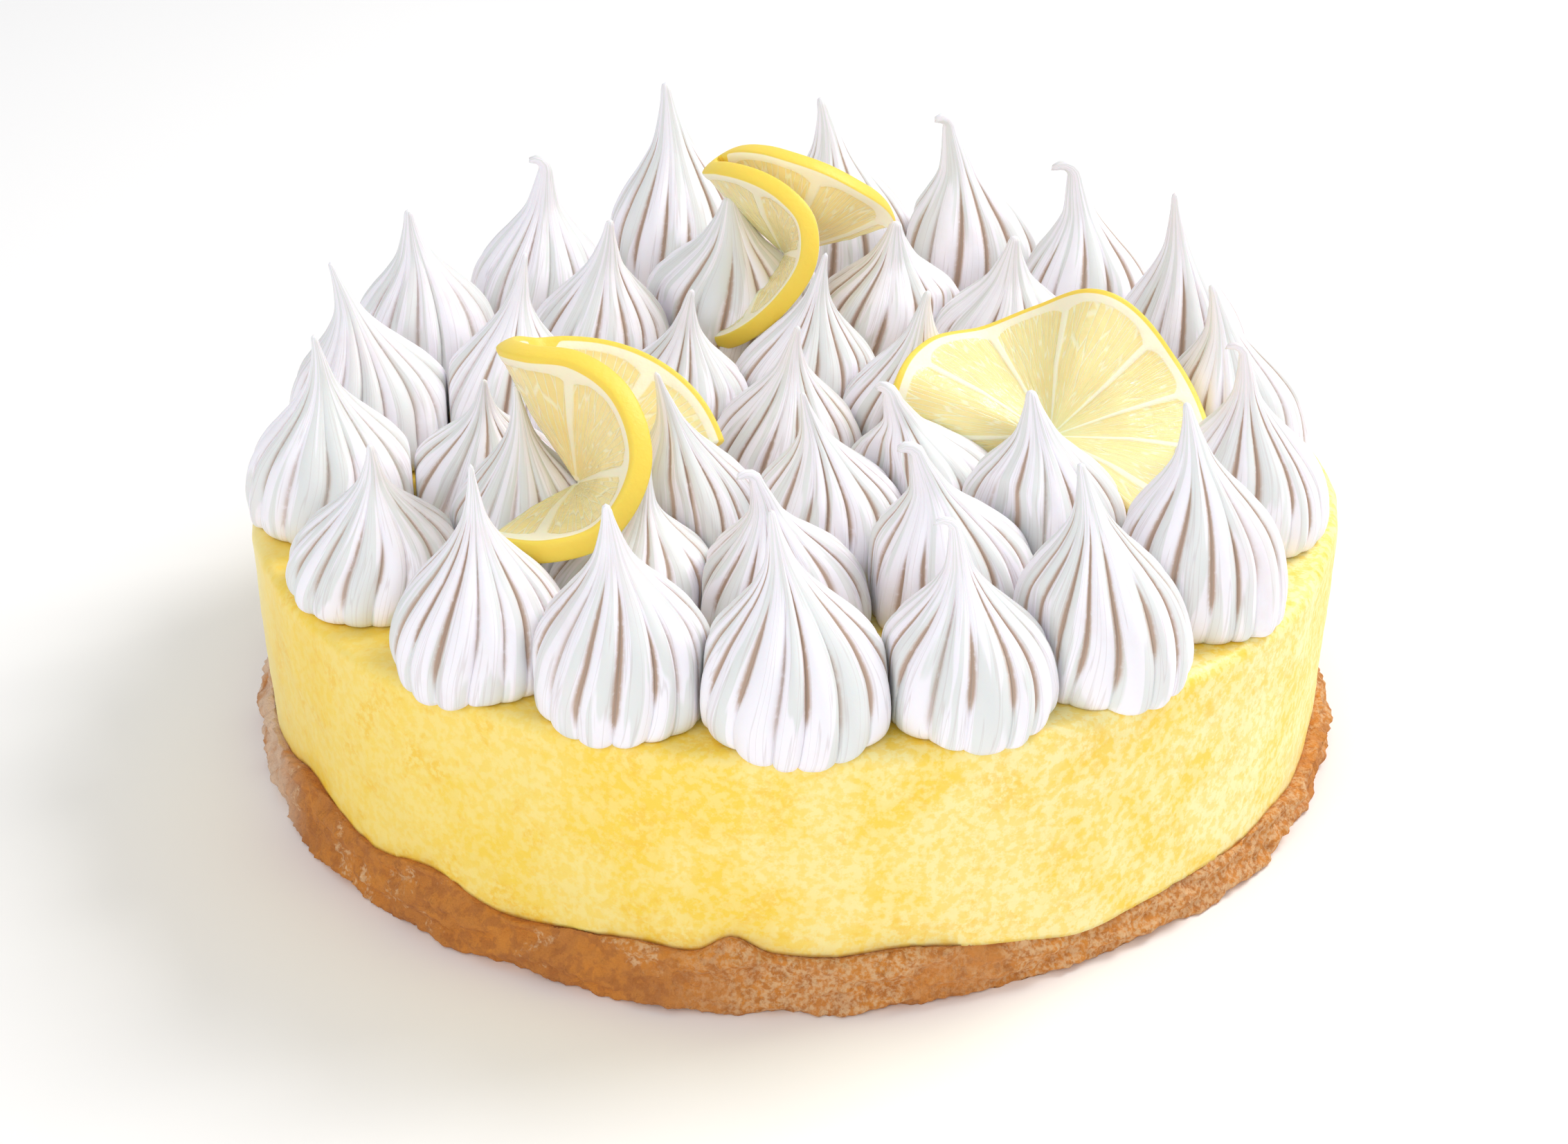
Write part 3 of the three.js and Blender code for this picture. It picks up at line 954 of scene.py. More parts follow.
@dataclass
class CrumbBase:
    """The pressed crumb base: a flat disc with a craggy side and an uneven upper edge.

    The outline gives distances inwards from the side, and shares of the height.
    """

    node: str = "crust_base"
    # the disc, and how far inwards from its side it is craggy at all and fully craggy
    radius: float = 102.0
    height: float = 9.2
    border_radius: float = 94.0
    skin: float = 2.0
    loose_skin: float = 1.2
    # the crags and the crumbs, with the smaller forms as shares of the larger
    relief: float = 0.75
    edge_relief: float = 0.7
    crumb_size: float = 2.6
    crumb_height: float = 0.9
    small_crumbs: float = 0.45
    small_share: float = 0.5
    ragged_share: float = 0.55
    ragged_sizes: tuple[float, float] = (1.3, 4.5)
    broad_share: float = 0.8
    # the share of the height where the upper edge begins, how far it is lifted, and its crumbs
    rim_from: float = 0.5
    rim_lift: float = 0.35
    rim_crumbs: float = 0.9
    # the grid's columns, and the forms round the side
    columns: int = 1100
    swells: tuple[Swell, ...] = (
        Swell(176, 16, 3.6, 0.6),
        Swell(-147, 11, 4.4, 0.3),
        Swell(-127, 7, 3.4, 0.6),
        Swell(-104, 9, 1.6, 0.5),
        Swell(-96, 2.6, 4.2, 0.4),
        Swell(-79, 7, 2, 0),
        Swell(-58, 15, -2, -1.6),
        Swell(-22, 16, -2.2, 0.4),
        Swell(22, 12, 1.8, 0.3),
        Swell(67, 15, -1.6, -0.5),
        Swell(112, 9, 2.4, 0.6),
    )
    edge_waves: tuple[Wave, ...] = (Wave(19, 0, 0, 0.6), Wave(31, 0, 1, 0.4))
    crag_waves: tuple[Wave, ...] = (
        Wave(7, 0.6, 0, 0.55),
        Wave(17, -0.9, 2, 0.55),
        Wave(29, 1.7, 0, 0.45),
        Wave(37, -1.3, 1, 0.45),
    )
    outline: Table = (
        (60.0, 0.0),
        (20.0, 0.0),
        (8.0, 0.0),
        (3.0, 0.0),
        (1.6, 0.0),
        (0.8, 0.01),
        (0.3, 0.05),
        (0.05, 0.11),
        (0.0, 0.18),
        (0.0, 0.25),
        (0.0, 0.32),
        (0.0, 0.39),
        (0.0, 0.46),
        (0.05, 0.53),
        (0.12, 0.6),
        (0.2, 0.67),
        (0.3, 0.74),
        (0.4, 0.81),
        (0.55, 0.88),
        (0.75, 0.94),
        (1.0, 0.98),
        (1.35, 1.0),
        (1.75, 1.0),
        (2.4, 0.99),
        (5.0, 0.985),
        (8.0, 0.985),
        (40.0, 0.985),
    )

    def __post_init__(self) -> None:
        """Works out the bearing of every column, the height of the edge there and the rows."""
        bearings = [360 * column / self.columns for column in range(self.columns)] + [0.0]
        self.borders = [(bearing, self.edge(bearing)) for bearing in bearings]
        (_, bottom), (_, top) = self.outline[0], self.outline[-1]
        self.rows = [(self.radius, bottom), *self.outline, (self.radius, top)]

    def edge(self, bearing: float) -> float:
        """Height of the upper edge at a bearing.

        Args:
            bearing: In degrees.

        Returns:
            The height in mm.
        """
        angle = math.radians(bearing)
        swollen = sum(swell.rise * swell.strength(bearing) for swell in self.swells)
        ripple = sum(wave.at(angle, 0) for wave in self.edge_waves)
        return self.height + swollen + self.edge_relief * ripple

    def level(self, bearing: float, distance: float) -> float:
        """Level of the joint with the filling, which slopes from the middle up to the border."""
        return lerp(self.height, self.edge(bearing), min(1.0, distance / self.border_radius))

    def crag(self, bearing: float, height: float) -> float:
        """How far the side stands out at a bearing and a height.

        Args:
            bearing: In degrees.
            height: In mm.

        Returns:
            The distance in mm.
        """
        angle = math.radians(bearing)
        swollen = sum(swell.reach * swell.strength(bearing) for swell in self.swells)
        return swollen + self.relief * sum(wave.at(angle, height) for wave in self.crag_waves)

    def crumbs(self, spot: Vector) -> float:
        """Height of the crumbs at a spot: rounded lumps of two sizes.

        Args:
            spot: A place in mm.

        Returns:
            The height in mm, above or below the mean.
        """
        large = 0.5 - noise.voronoi(spot / self.crumb_size)[0][0]
        small = 0.5 - noise.voronoi(spot / (self.small_crumbs * self.crumb_size))[0][0]
        fine, broad = self.ragged_sizes
        ragged = noise.noise(spot / fine) + self.broad_share * noise.noise(spot / broad)
        return self.crumb_height * (large + self.small_share * small + self.ragged_share * ragged)

    def point(self, column: int, row: int) -> Vector:
        """The place of a point of the grid, craggy near the side and plain elsewhere.

        Args:
            column: Which bearing it is on.
            row: Its place along the outline.

        Returns:
            The point in mm.
        """
        inset, share = self.rows[row]
        distance = self.radius - inset
        bearing, edge = self.borders[column]
        height = share * lerp(self.height, edge, min(1.0, distance / self.border_radius))
        spot = raised(bearing, distance, height)
        loose = ease(self.skin, self.loose_skin, inset)
        if loose > 0:
            lump = self.crumbs(spot)
            distance += loose * (self.crag(bearing, height) + lump)
            height += loose * ease(self.rim_from, 1.0, share) * (self.rim_lift + self.rim_crumbs * lump)
        return raised(bearing, distance, height)

    def build(self, material: bpy.types.Material) -> None:
        """Builds and places the base.

        Args:
            material: Its finish.
        """
        surface = Surface(self.columns, len(self.rows) - 1)
        surface.wrap(self.point)
        place_piece(surface.finish("crumb_base", material), self.node, Slot.CRUST)


@dataclass
class LemonFilling:
    """The set filling: a deep disc with an upright side, a rounded upper edge and a flat top."""

    base: CrumbBase
    node: str = "lemon_filling"
    # the disc, how far its side swells and waves, and how far inwards the side counts as such
    radius: float = 100.0
    top: float = 47.5
    fillet: float = 2.0
    belly: float = 0.2
    wobble: float = 0.35
    side_zone: float = 2.5
    # the soft dents, and over what distance those of the top begin
    side_dents: tuple[Dents, ...] = (Dents(9.0, 0.28), Dents(2.6, 0.12))
    top_dents: Dents = Dents(6.0, 0.2)
    top_fade: float = 4.0
    # the grid, with the distances of its rings from the axis
    columns: int = 480
    side_rows: int = 44
    fillet_rows: int = 7
    under_rings: Sequence[float] = (0.0, 40.0, 80.0, 94.0, 98.0)
    top_rings: Sequence[float] = (97, 96, 94.5, 92.5, 90, 86, 80, 72, 62, 50, 34, 16, 0)
    side_waves: tuple[Wave, ...] = (Wave(5, 0.05, 0, 1), Wave(11, 0, 2, 1))

    def __post_init__(self) -> None:
        """Works out the outline."""
        self.rows = self.outline()

    def outline(self) -> list[tuple[float, float | None]]:
        """The outline from the middle of the underside to the middle of the top.

        Returns:
            Distance from the axis and height, in mm. No height means the underside, which follows
            the crust, and a negative one is minus the share of the way up the side.
        """
        rows = [(out, None) for out in (*self.under_rings, self.radius)]
        rows += [(self.radius, -i / self.side_rows) for i in range(1, self.side_rows + 1)]
        for i in range(1, self.fillet_rows + 1):
            turn = math.pi / 2 * i / self.fillet_rows
            out = self.radius - self.fillet * (1 - math.cos(turn))
            rows.append((out, self.top - self.fillet * (1 - math.sin(turn))))
        return rows + [(out, self.top) for out in self.top_rings]

    def point(self, column: int, row: int) -> Vector:
        """The place of a point of the grid: a wavy side, and soft dents in the side and the top.

        Args:
            column: Which bearing it is on.
            row: Its place along the outline.

        Returns:
            The point in mm.
        """
        distance, height = self.rows[row]
        bearing = 360 * (column % self.columns) / self.columns
        angle = math.radians(bearing)
        under = self.base.level(bearing, distance)
        if height is None:
            height = under
        elif height < 0:
            height = lerp(under, self.top - self.fillet, -height)
        if distance > self.radius - self.side_zone:
            share = (height - under) / (self.top - under)
            distance += self.wobble * sum(wave.at(angle, height) for wave in self.side_waves)
            distance += 4 * self.belly * share * (1 - share)
            spot = raised(bearing, distance, height)
            distance += sum(dents.at(spot) for dents in self.side_dents)
        elif height == self.top:
            flat = self.radius - self.side_zone
            dent = self.top_dents.at(polar(bearing, distance).to_3d())
            height += dent * ease(flat, flat - self.top_fade, distance)
        return raised(bearing, distance, height)

    def build(self, material: bpy.types.Material) -> None:
        """Builds and places the filling.

        Args:
            material: Its finish.
        """
        surface = Surface(self.columns, len(self.rows) - 1)
        surface.wrap(self.point)
        place_piece(surface.finish("set_filling", material), self.node, Slot.FILLING)


# ---- meringue ----


@dataclass(frozen=True)
class KissRow:
    """Where a kiss stands and how it is shaped.

    The bearing and distance of its foot, its height, and how far its tip leans along X and Y. Then its
    girth, how much its shoulders are filled out, and the bearing and radius of a tip that curls over.
    """

    bearing: float
    out: float
    height: float
    lean: tuple[float, float]
    girth: float = 1.0
    full: float = 0.0
    hook: float | None = None
    curl: float = 1.9


@dataclass(frozen=True)
class Pressed:
    """An upright plane that a neighbour presses on a kiss: its direction and distance from the foot.

    How softly it presses, and how far before and behind it a spot no longer feels the softness.
    """

    direction: Vector
    limit: float
    softness: float = 0.35
    far: float = 6.0
    deep: float = -40.0

    def push(self, spot: Vector) -> Vector:
        """Moves a flat spot back from the plane, softly.

        Args:
            spot: Where it is, from the foot.

        Returns:
            Where it comes to lie.
        """
        ahead = spot.dot(self.direction)
        short = (self.limit - ahead) / self.softness
        if short > self.far:
            return spot
        held = self.softness * math.log1p(math.exp(short)) if short > self.deep else 0.0
        return spot + (self.limit - held - ahead) * self.direction


@dataclass(frozen=True)
class Rib:
    """One rib of a kiss and the groove at its start.

    Its edge and width in turns, how deep the groove is, between which shares of the height it shows, and
    how strong its tint is.
    """

    edge: float
    width: float
    strength: float
    start: float
    end: float
    line: float


@dataclass(frozen=True)
class RibLots:
    """Between which values the lots for a kiss's ribs are drawn."""

    width: tuple[float, float] = (0.7, 1.3)
    strength: tuple[float, float] = (0.75, 1.2)
    start: tuple[float, float] = (0.48, 0.84)
    end: tuple[float, float] = (0.06, 0.24)
    line: tuple[float, float] = (0.85, 1.0)
    faint_share: float = 0.18
    faint_line: float = 0.4

    def draw(self, count: int, seed: int) -> list[Rib]:
        """Draws lots for the ribs' widths and the grooves' depths and lengths.

        Args:
            count: How many ribs there are.
            seed: What the lots hang on.

        Returns:
            The ribs in order.
        """
        lots = random.Random(seed)
        widths = [lots.uniform(*self.width) for _ in range(count)]
        ribs = []
        edge = 0.0
        for width in widths:
            turns = width / sum(widths)
            faint = lots.random() < self.faint_share
            strength = lots.uniform(*self.strength)
            start = lots.uniform(*self.start)
            end = lots.uniform(*self.end)
            line = self.faint_line if faint else lots.uniform(*self.line)
            ribs.append(Rib(edge, turns, strength, start, end, line))
            edge += turns
        return ribs


@dataclass(frozen=True)
class Stand:
    """Where a column of a kiss's grid stands.

    Its angle in radians and its direction, both before the kiss is turned. Then its distance from the
    nearest groove as a share of a rib, and the rib that this groove starts.
    """

    angle: float
    around: Vector
    away: float
    rib: Rib


@dataclass(frozen=True)
class Level:
    """A row of a kiss's grid: its distance from the middle line and its share of the height.

    Then its middle point, how its ring is turned, and how deep its grooves are.
    """

    distance: float
    share: float
    middle: Vector
    ring: Matrix
    depth: float


@dataclass
class Kiss:
    """One piped kiss: ribs that fan down from a thin point to a scalloped foot."""

    node: str
    row: KissRow
    turn: float
    seed: int
    # the body, in mm, degrees and powers
    ground: float = 47.5
    plain_radius: float = 14.4
    shoulder_fill: float = 4.0
    lean_power: float = 1.7
    waver: float = 0.5
    waver_rate: float = 3.0
    twist: float = 24.0
    sway: float = 4.0
    sway_rates: tuple[float, float] = (1.6, 3.0)
    # the ribs and the grid, with depths as shares of the radius
    ribs: int = 16
    rib_columns: int = 11
    rib_crowd: float = 0.11
    rows: int = 66
    hook_sweep: float = 2.5
    neck_share: float = 0.76
    crest: float = 0.04
    uneven: float = 0.035
    uneven_rates: tuple[float, float] = (1.1, 2.5)
    valley_power: float = 0.62
    valley_fade: tuple[float, float] = (0.14, -0.12)
    faded_depth: float = 0.35
    # the painted shade in the grooves, with widths as shares of a rib
    plain_rows: int = 6
    line_width: float = 0.085
    line_taper: float = 0.6
    line_below: tuple[float, float] = (-0.04, 0.12)
    line_above: tuple[float, float] = (0.08, -0.12)
    line_tint: float = 1.0
    haze: float = 0.26
    haze_width: float = 2.4
    # how it hangs over the filling's edge, and how its neighbours press
    rim_radius: float = 98.8
    sag_rate: float = 0.55
    sag_most: float = 1.6
    sag_height: float = 7.0
    press_rounds: int = 2
    lots: RibLots = RibLots()
    outline: Table = (
        (0.0, 0.0),
        (0.45, 0.0),
        (0.84, 0.0),
        (0.95, 0.035),
        (1.0, 0.125),
        (0.975, 0.22),
        (0.895, 0.33),
        (0.75, 0.435),
        (0.53, 0.54),
        (0.32, 0.64),
        (0.17, 0.74),
        (0.09, 0.85),
        (0.05, 0.93),
        (0.03, 0.985),
        (0.0, 1.0),
    )
    groove_depths: Table = (
        (0.0, 0.06),
        (0.08, 0.075),
        (0.2, 0.1),
        (0.4, 0.13),
        (0.6, 0.14),
        (0.76, 0.09),
        (0.92, 0.03),
        (1.0, 0.0),
    )
    planes: list[Pressed] = field(default_factory=list)

    def __post_init__(self) -> None:
        """Works out the foot, the girth, the outline and the places of the grid's columns and rows."""
        self.foot = polar(self.row.bearing, self.row.out)
        self.radius = self.plain_radius * self.row.girth
        self.path = RoundedPath([self.filled(across, up) for across, up in self.outline])
        self.bars = self.lots.draw(self.ribs, self.seed)
        self.stands = [self.stand(column) for column in range(self.ribs * self.rib_columns + 1)]
        self.levels = [self.level(row) for row in range(self.rows + 1)]

    def filled(self, across: float, up: float) -> Vector:
        """A point of the outline in mm, with the shoulders filled out."""
        wider = 1 + self.shoulder_fill * self.row.full * (1 - across)
        return Vector((across * wider * self.radius, up * self.row.height))

    def press_against(self, others: Sequence[Kiss], reach: float = 3.0, gap: float = 0.05) -> None:
        """Finds the planes on which the neighbours press.

        Args:
            others: All kisses, this one too.
            reach: Kisses with less than this between their sides press on each other.
            gap: What stays open between two kisses.
        """
        for other in others:
            way = other.foot - self.foot
            apart = way.length
            if other is not self and apart < self.radius + other.radius + reach:
                share = 0.5 + (self.radius**2 - other.radius**2) / (2 * apart * apart)
                self.planes.append(Pressed(way.normalized(), apart * share - gap / 2))

    def spine(self, share: float) -> tuple[Vector, Matrix]:
        """The middle line of the kiss.

        Args:
            share: How far up, as a share of the height. A curled tip goes on past the height.

        Returns:
            The middle point above the foot, and how the level ring round it is turned.
        """
        height = self.row.height
        stop = 1 - self.row.curl / height
        up = share
        if self.row.hook is not None and share > self.neck_share:
            longest = stop + self.row.curl * self.hook_sweep / height
            up = lerp(self.neck_share, longest, (share - self.neck_share) / (1 - self.neck_share))
        straight = min(up, stop) if self.row.hook is not None else up
        bend = straight**self.lean_power
        waver = self.waver * straight**2
        read = straight * self.waver_rate
        point = Vector(
            (
                self.row.lean[0] * bend + waver * noise.noise(Vector((read, self.seed, 0))),
                self.row.lean[1] * bend + waver * noise.noise(Vector((read, 0, self.seed))),
                height * straight,
            )
        )
        if up <= straight:
            return point, Matrix.Identity(3)
        angle = (up - stop) * height / self.row.curl
        side = polar(self.row.hook, 1.0).to_3d()
        point += self.row.curl * ((1 - math.cos(angle)) * side + math.sin(angle) * Vector((0, 0, 1)))
        return point, Matrix.Rotation(angle, 3, Vector((0, 0, 1)).cross(side))

    def stand(self, column: int) -> Stand:
        """Where a column of the grid stands, a little closer to its neighbours near the grooves.

        Args:
            column: The column.

        Returns:
            Its place and the rib that its nearest groove belongs to.
        """
        rib, step = divmod(column % (self.ribs * self.rib_columns), self.rib_columns)
        even = step / self.rib_columns
        inside = even - self.rib_crowd * math.sin(2 * math.pi * even)
        bar = self.bars[rib]
        owner = bar if inside <= 0.5 else self.bars[(rib + 1) % self.ribs]
        angle = 2 * math.pi * (bar.edge + bar.width * inside)
        around = Vector((math.cos(angle), math.sin(angle), 0))
        return Stand(angle, around, min(inside, 1 - inside), owner)

    def level(self, row: int) -> Level:
        """Where a row of the grid runs.

        Args:
            row: The row.

        Returns:
            Its size and place, and the depth of its grooves.
        """
        spot = self.path.at(row / self.rows)
        share = min(1.0, max(0.0, spot.y / self.row.height))
        middle, ring = self.spine(share)
        return Level(max(0.0, spot.x), share, middle, ring, along_table(self.groove_depths, share))

    def swell(self, stand: Stand, level: Level) -> float:
        """How wide the kiss is at a point, against its plain outline.

        Args:
            stand: The point's column.
            level: Its row.

        Returns:
            A factor near 1, lowest in the grooves.
        """
        valley = 1 - math.sin(math.pi * stand.away) ** self.valley_power
        start = stand.rib.start
        fades = ease(start + self.valley_fade[0], start + self.valley_fade[1], level.share)
        carved = level.depth * stand.rib.strength * valley * lerp(self.faded_depth, 1.0, fades)
        round_rate, up_rate = self.uneven_rates
        uneven = noise.noise(stand.around * round_rate + Vector((0, self.seed, level.share * up_rate)))
        return 1 + self.crest - carved + self.uneven * uneven

    def point(self, column: int, row: int) -> Vector:
        """The place of a point, pressed by the neighbours and sagging a little over the filling's edge.

        Args:
            column: Its column.
            row: Its row.

        Returns:
            The point in mm.
        """
        stand, level = self.stands[column], self.levels[row]
        round_rate, up_rate = self.sway_rates
        sway = noise.noise(stand.around * round_rate + Vector((self.seed, 0, level.share * up_rate)))
        angle = stand.angle + math.radians(self.turn + self.twist * level.share + self.sway * sway)
        out = Vector((math.cos(angle), math.sin(angle), 0)) * level.distance * self.swell(stand, level)
        spot = level.middle + level.ring @ out
        flat = spot.to_2d()
        for plane in self.planes * self.press_rounds:
            flat = plane.push(flat)
        flat += self.foot
        over = max(0.0, flat.length - self.rim_radius)
        sag = min(self.sag_most, self.sag_rate * over) * ease(self.sag_height, 0.0, spot.z)
        return Vector((flat.x, flat.y, self.ground + spot.z - sag))

    def groove(self, column: int, row: int) -> float:
        """How strongly the painted shade of the nearest groove tints a point: a dark line with a faint
        haze of painted shade beside it.

        Args:
            column: The point's column.
            row: Its row.

        Returns:
            0 for none, about 1 for the full tint.
        """
        stand, share = self.stands[column], self.levels[row].share
        if row < self.plain_rows:
            return 0.0
        start, end = stand.rib.start, stand.rib.end
        window = ease(end + self.line_below[0], end + self.line_below[1], share)
        window *= ease(start + self.line_above[0], start + self.line_above[1], share)
        width = self.line_width * lerp(self.line_taper, 1.0, window)
        haze = self.haze * math.exp(-((stand.away / (self.haze_width * width)) ** 2))
        return self.line_tint * stand.rib.line * window * (haze + math.exp(-((stand.away / width) ** 4)))

    def fibre(self, column: int, row: int) -> Vector:
        """A place round and up the kiss that its streaks follow."""
        return self.stands[column].around + Vector((0, 0, self.levels[row].share + self.seed))

    def build(self, material: bpy.types.Material) -> None:
        """Builds and places the kiss.

        Args:
            material: Its finish.
        """
        columns = self.ribs * self.rib_columns
        surface = Surface(columns, self.rows, numbers=("groove",), vectors=("fibre",))
        surface.wrap(self.point)
        # the painted shade of the grooves, for the finish to read
        surface.mark("groove", self.groove)
        surface.mark("fibre", self.fibre)
        piece = surface.finish(self.node.replace("kiss", "piped_kiss"), material)
        place_piece(piece, self.node, Slot.MERINGUE)


@dataclass
class MeringueCover:
    """All the kisses, ring by ring from the rim inwards."""

    ring_turn: float = 7.0
    first_seed: int = 11
    seed_step: int = 7
    # how strong the painted shade in the grooves is on each ring, and how much weaker it is on the outer
    # kisses near one bearing
    ring_tints: dict[str, float] = field(
        default_factory=lambda: {"outer": 1.0, "middle": 0.85, "inner": 0.8}
    )
    pale_ring: str = "outer"
    pale_bearing: float = 165.0
    pale_reach: tuple[float, float] = (30.0, 75.0)
    pale_tint: float = 0.4
    rings: dict[str, tuple[KissRow, ...]] = field(
        default_factory=lambda: {
            "outer": (
                KissRow(-90, 87.5, 37, (-4, -1), 1.07),
                KissRow(-72.5, 88, 33.4, (-3, -1), hook=190),
                KissRow(-56, 87.5, 36.5, (-5, 1), full=0.08),
                KissRow(-37.5, 86, 37.5, (-5, 1), 0.98, full=0.1),
                KissRow(-16.5, 83.5, 35.7, (-3, -1), 1.03, hook=170),
                KissRow(3, 83, 36, (-7, -1), 0.97, full=0.12),
                KissRow(23, 83, 44, (-4, -2), 0.97, full=0.05),
                KissRow(43, 84, 39.5, (-5, 2), full=0.15, hook=185, curl=2.8),
                KissRow(62.5, 84, 44.6, (-7, -1), full=0.25, hook=195),
                KissRow(82, 85, 45, (-6.2, 2.3), 1.08, full=0.22),
                KissRow(106, 84, 49, (-3.7, 3.2), 1.1, full=0.2),
                KissRow(129, 85, 38.8, (3, -2), full=0.15, hook=175),
                KissRow(151, 84.5, 38.5, (-1, -5), 1.04, full=0.12),
                KissRow(172, 80, 37, (-7, 1), 1.13),
                KissRow(-168, 85, 35.5, (-1, -1), 1.08),
                KissRow(-147, 85, 29, (1, -3), 1.04),
                KissRow(-125, 88, 37, (0, -1), full=-0.05),
                KissRow(-108, 87, 36, (-2, -2), full=0.08),
            ),
            "middle": (
                KissRow(-92, 58, 30.7, (-5, -6), full=0.05, hook=200),
                KissRow(-117, 60, 26, (3, 2)),
                KissRow(-142, 59, 33, (-1, 2), 0.97),
                KissRow(-167, 58, 28, (2, -8)),
                KissRow(166, 57, 37, (5, 3)),
                KissRow(137, 54, 38, (4, -5), 1.02, full=0.12),
                KissRow(103, 55.5, 36, (-0.4, -4.1), 1.15, full=0.38),
                KissRow(69, 53, 34, (1, -8), 1.04, full=0.3),
                KissRow(40, 54, 35, (1, -4), full=0.25),
                KissRow(13, 54, 28, (0, 2)),
                KissRow(-12, 57, 19, (1, 2)),
                KissRow(-41.5, 57.5, 35, (-4, -3), full=0.2),
                KissRow(-63.5, 60, 32.3, (-8, -4), full=0.15, hook=185),
            ),
            "inner": (
                KissRow(-79.5, 33, 33, (-5, -5)),
                KissRow(-118, 39, 38, (-5, -6), 0.98),
                KissRow(-40, 31, 28.3, (-8, -6), full=0.15, hook=170),
                KissRow(-112, 5.5, 33.5, (2.5, -5), full=0.05),
                KissRow(156.5, 25, 34, (4, -4), 1.04, full=0.05),
                KissRow(85, 21, 36.5, (4, -3), 1.03),
                KissRow(15, 23, 35, (2, -3), full=0.08),
                KissRow(-158, 31, 27, (0, 1), 0.96),
            ),
        }
    )

    def plan(self) -> list[Kiss]:
        """Names the kisses and lets them press on each other.

        Returns:
            All kisses, ready to build.
        """
        kisses = []
        for ring, rows in self.rings.items():
            for i, row in enumerate(rows):
                node = f"kiss_{ring}_{i + 1:02d}"
                # the strength of the painted shade in this kiss's grooves
                tint = self.ring_tints[ring]
                if ring == self.pale_ring:
                    away = turn_between(row.bearing, self.pale_bearing)
                    tint *= lerp(self.pale_tint, 1.0, ease(*self.pale_reach, away))
                turn = row.bearing + self.ring_turn * i
                seed = self.first_seed + self.seed_step * len(kisses)
                kisses.append(Kiss(node, row, turn, seed, line_tint=tint))
        for kiss in kisses:
            kiss.press_against(kisses)
        return kisses

    def build(self, material: bpy.types.Material) -> None:
        """Builds and places every kiss.

        Args:
            material: Their finish.
        """
        for kiss in self.plan():
            kiss.build(material)


# ---- lemon slices ----


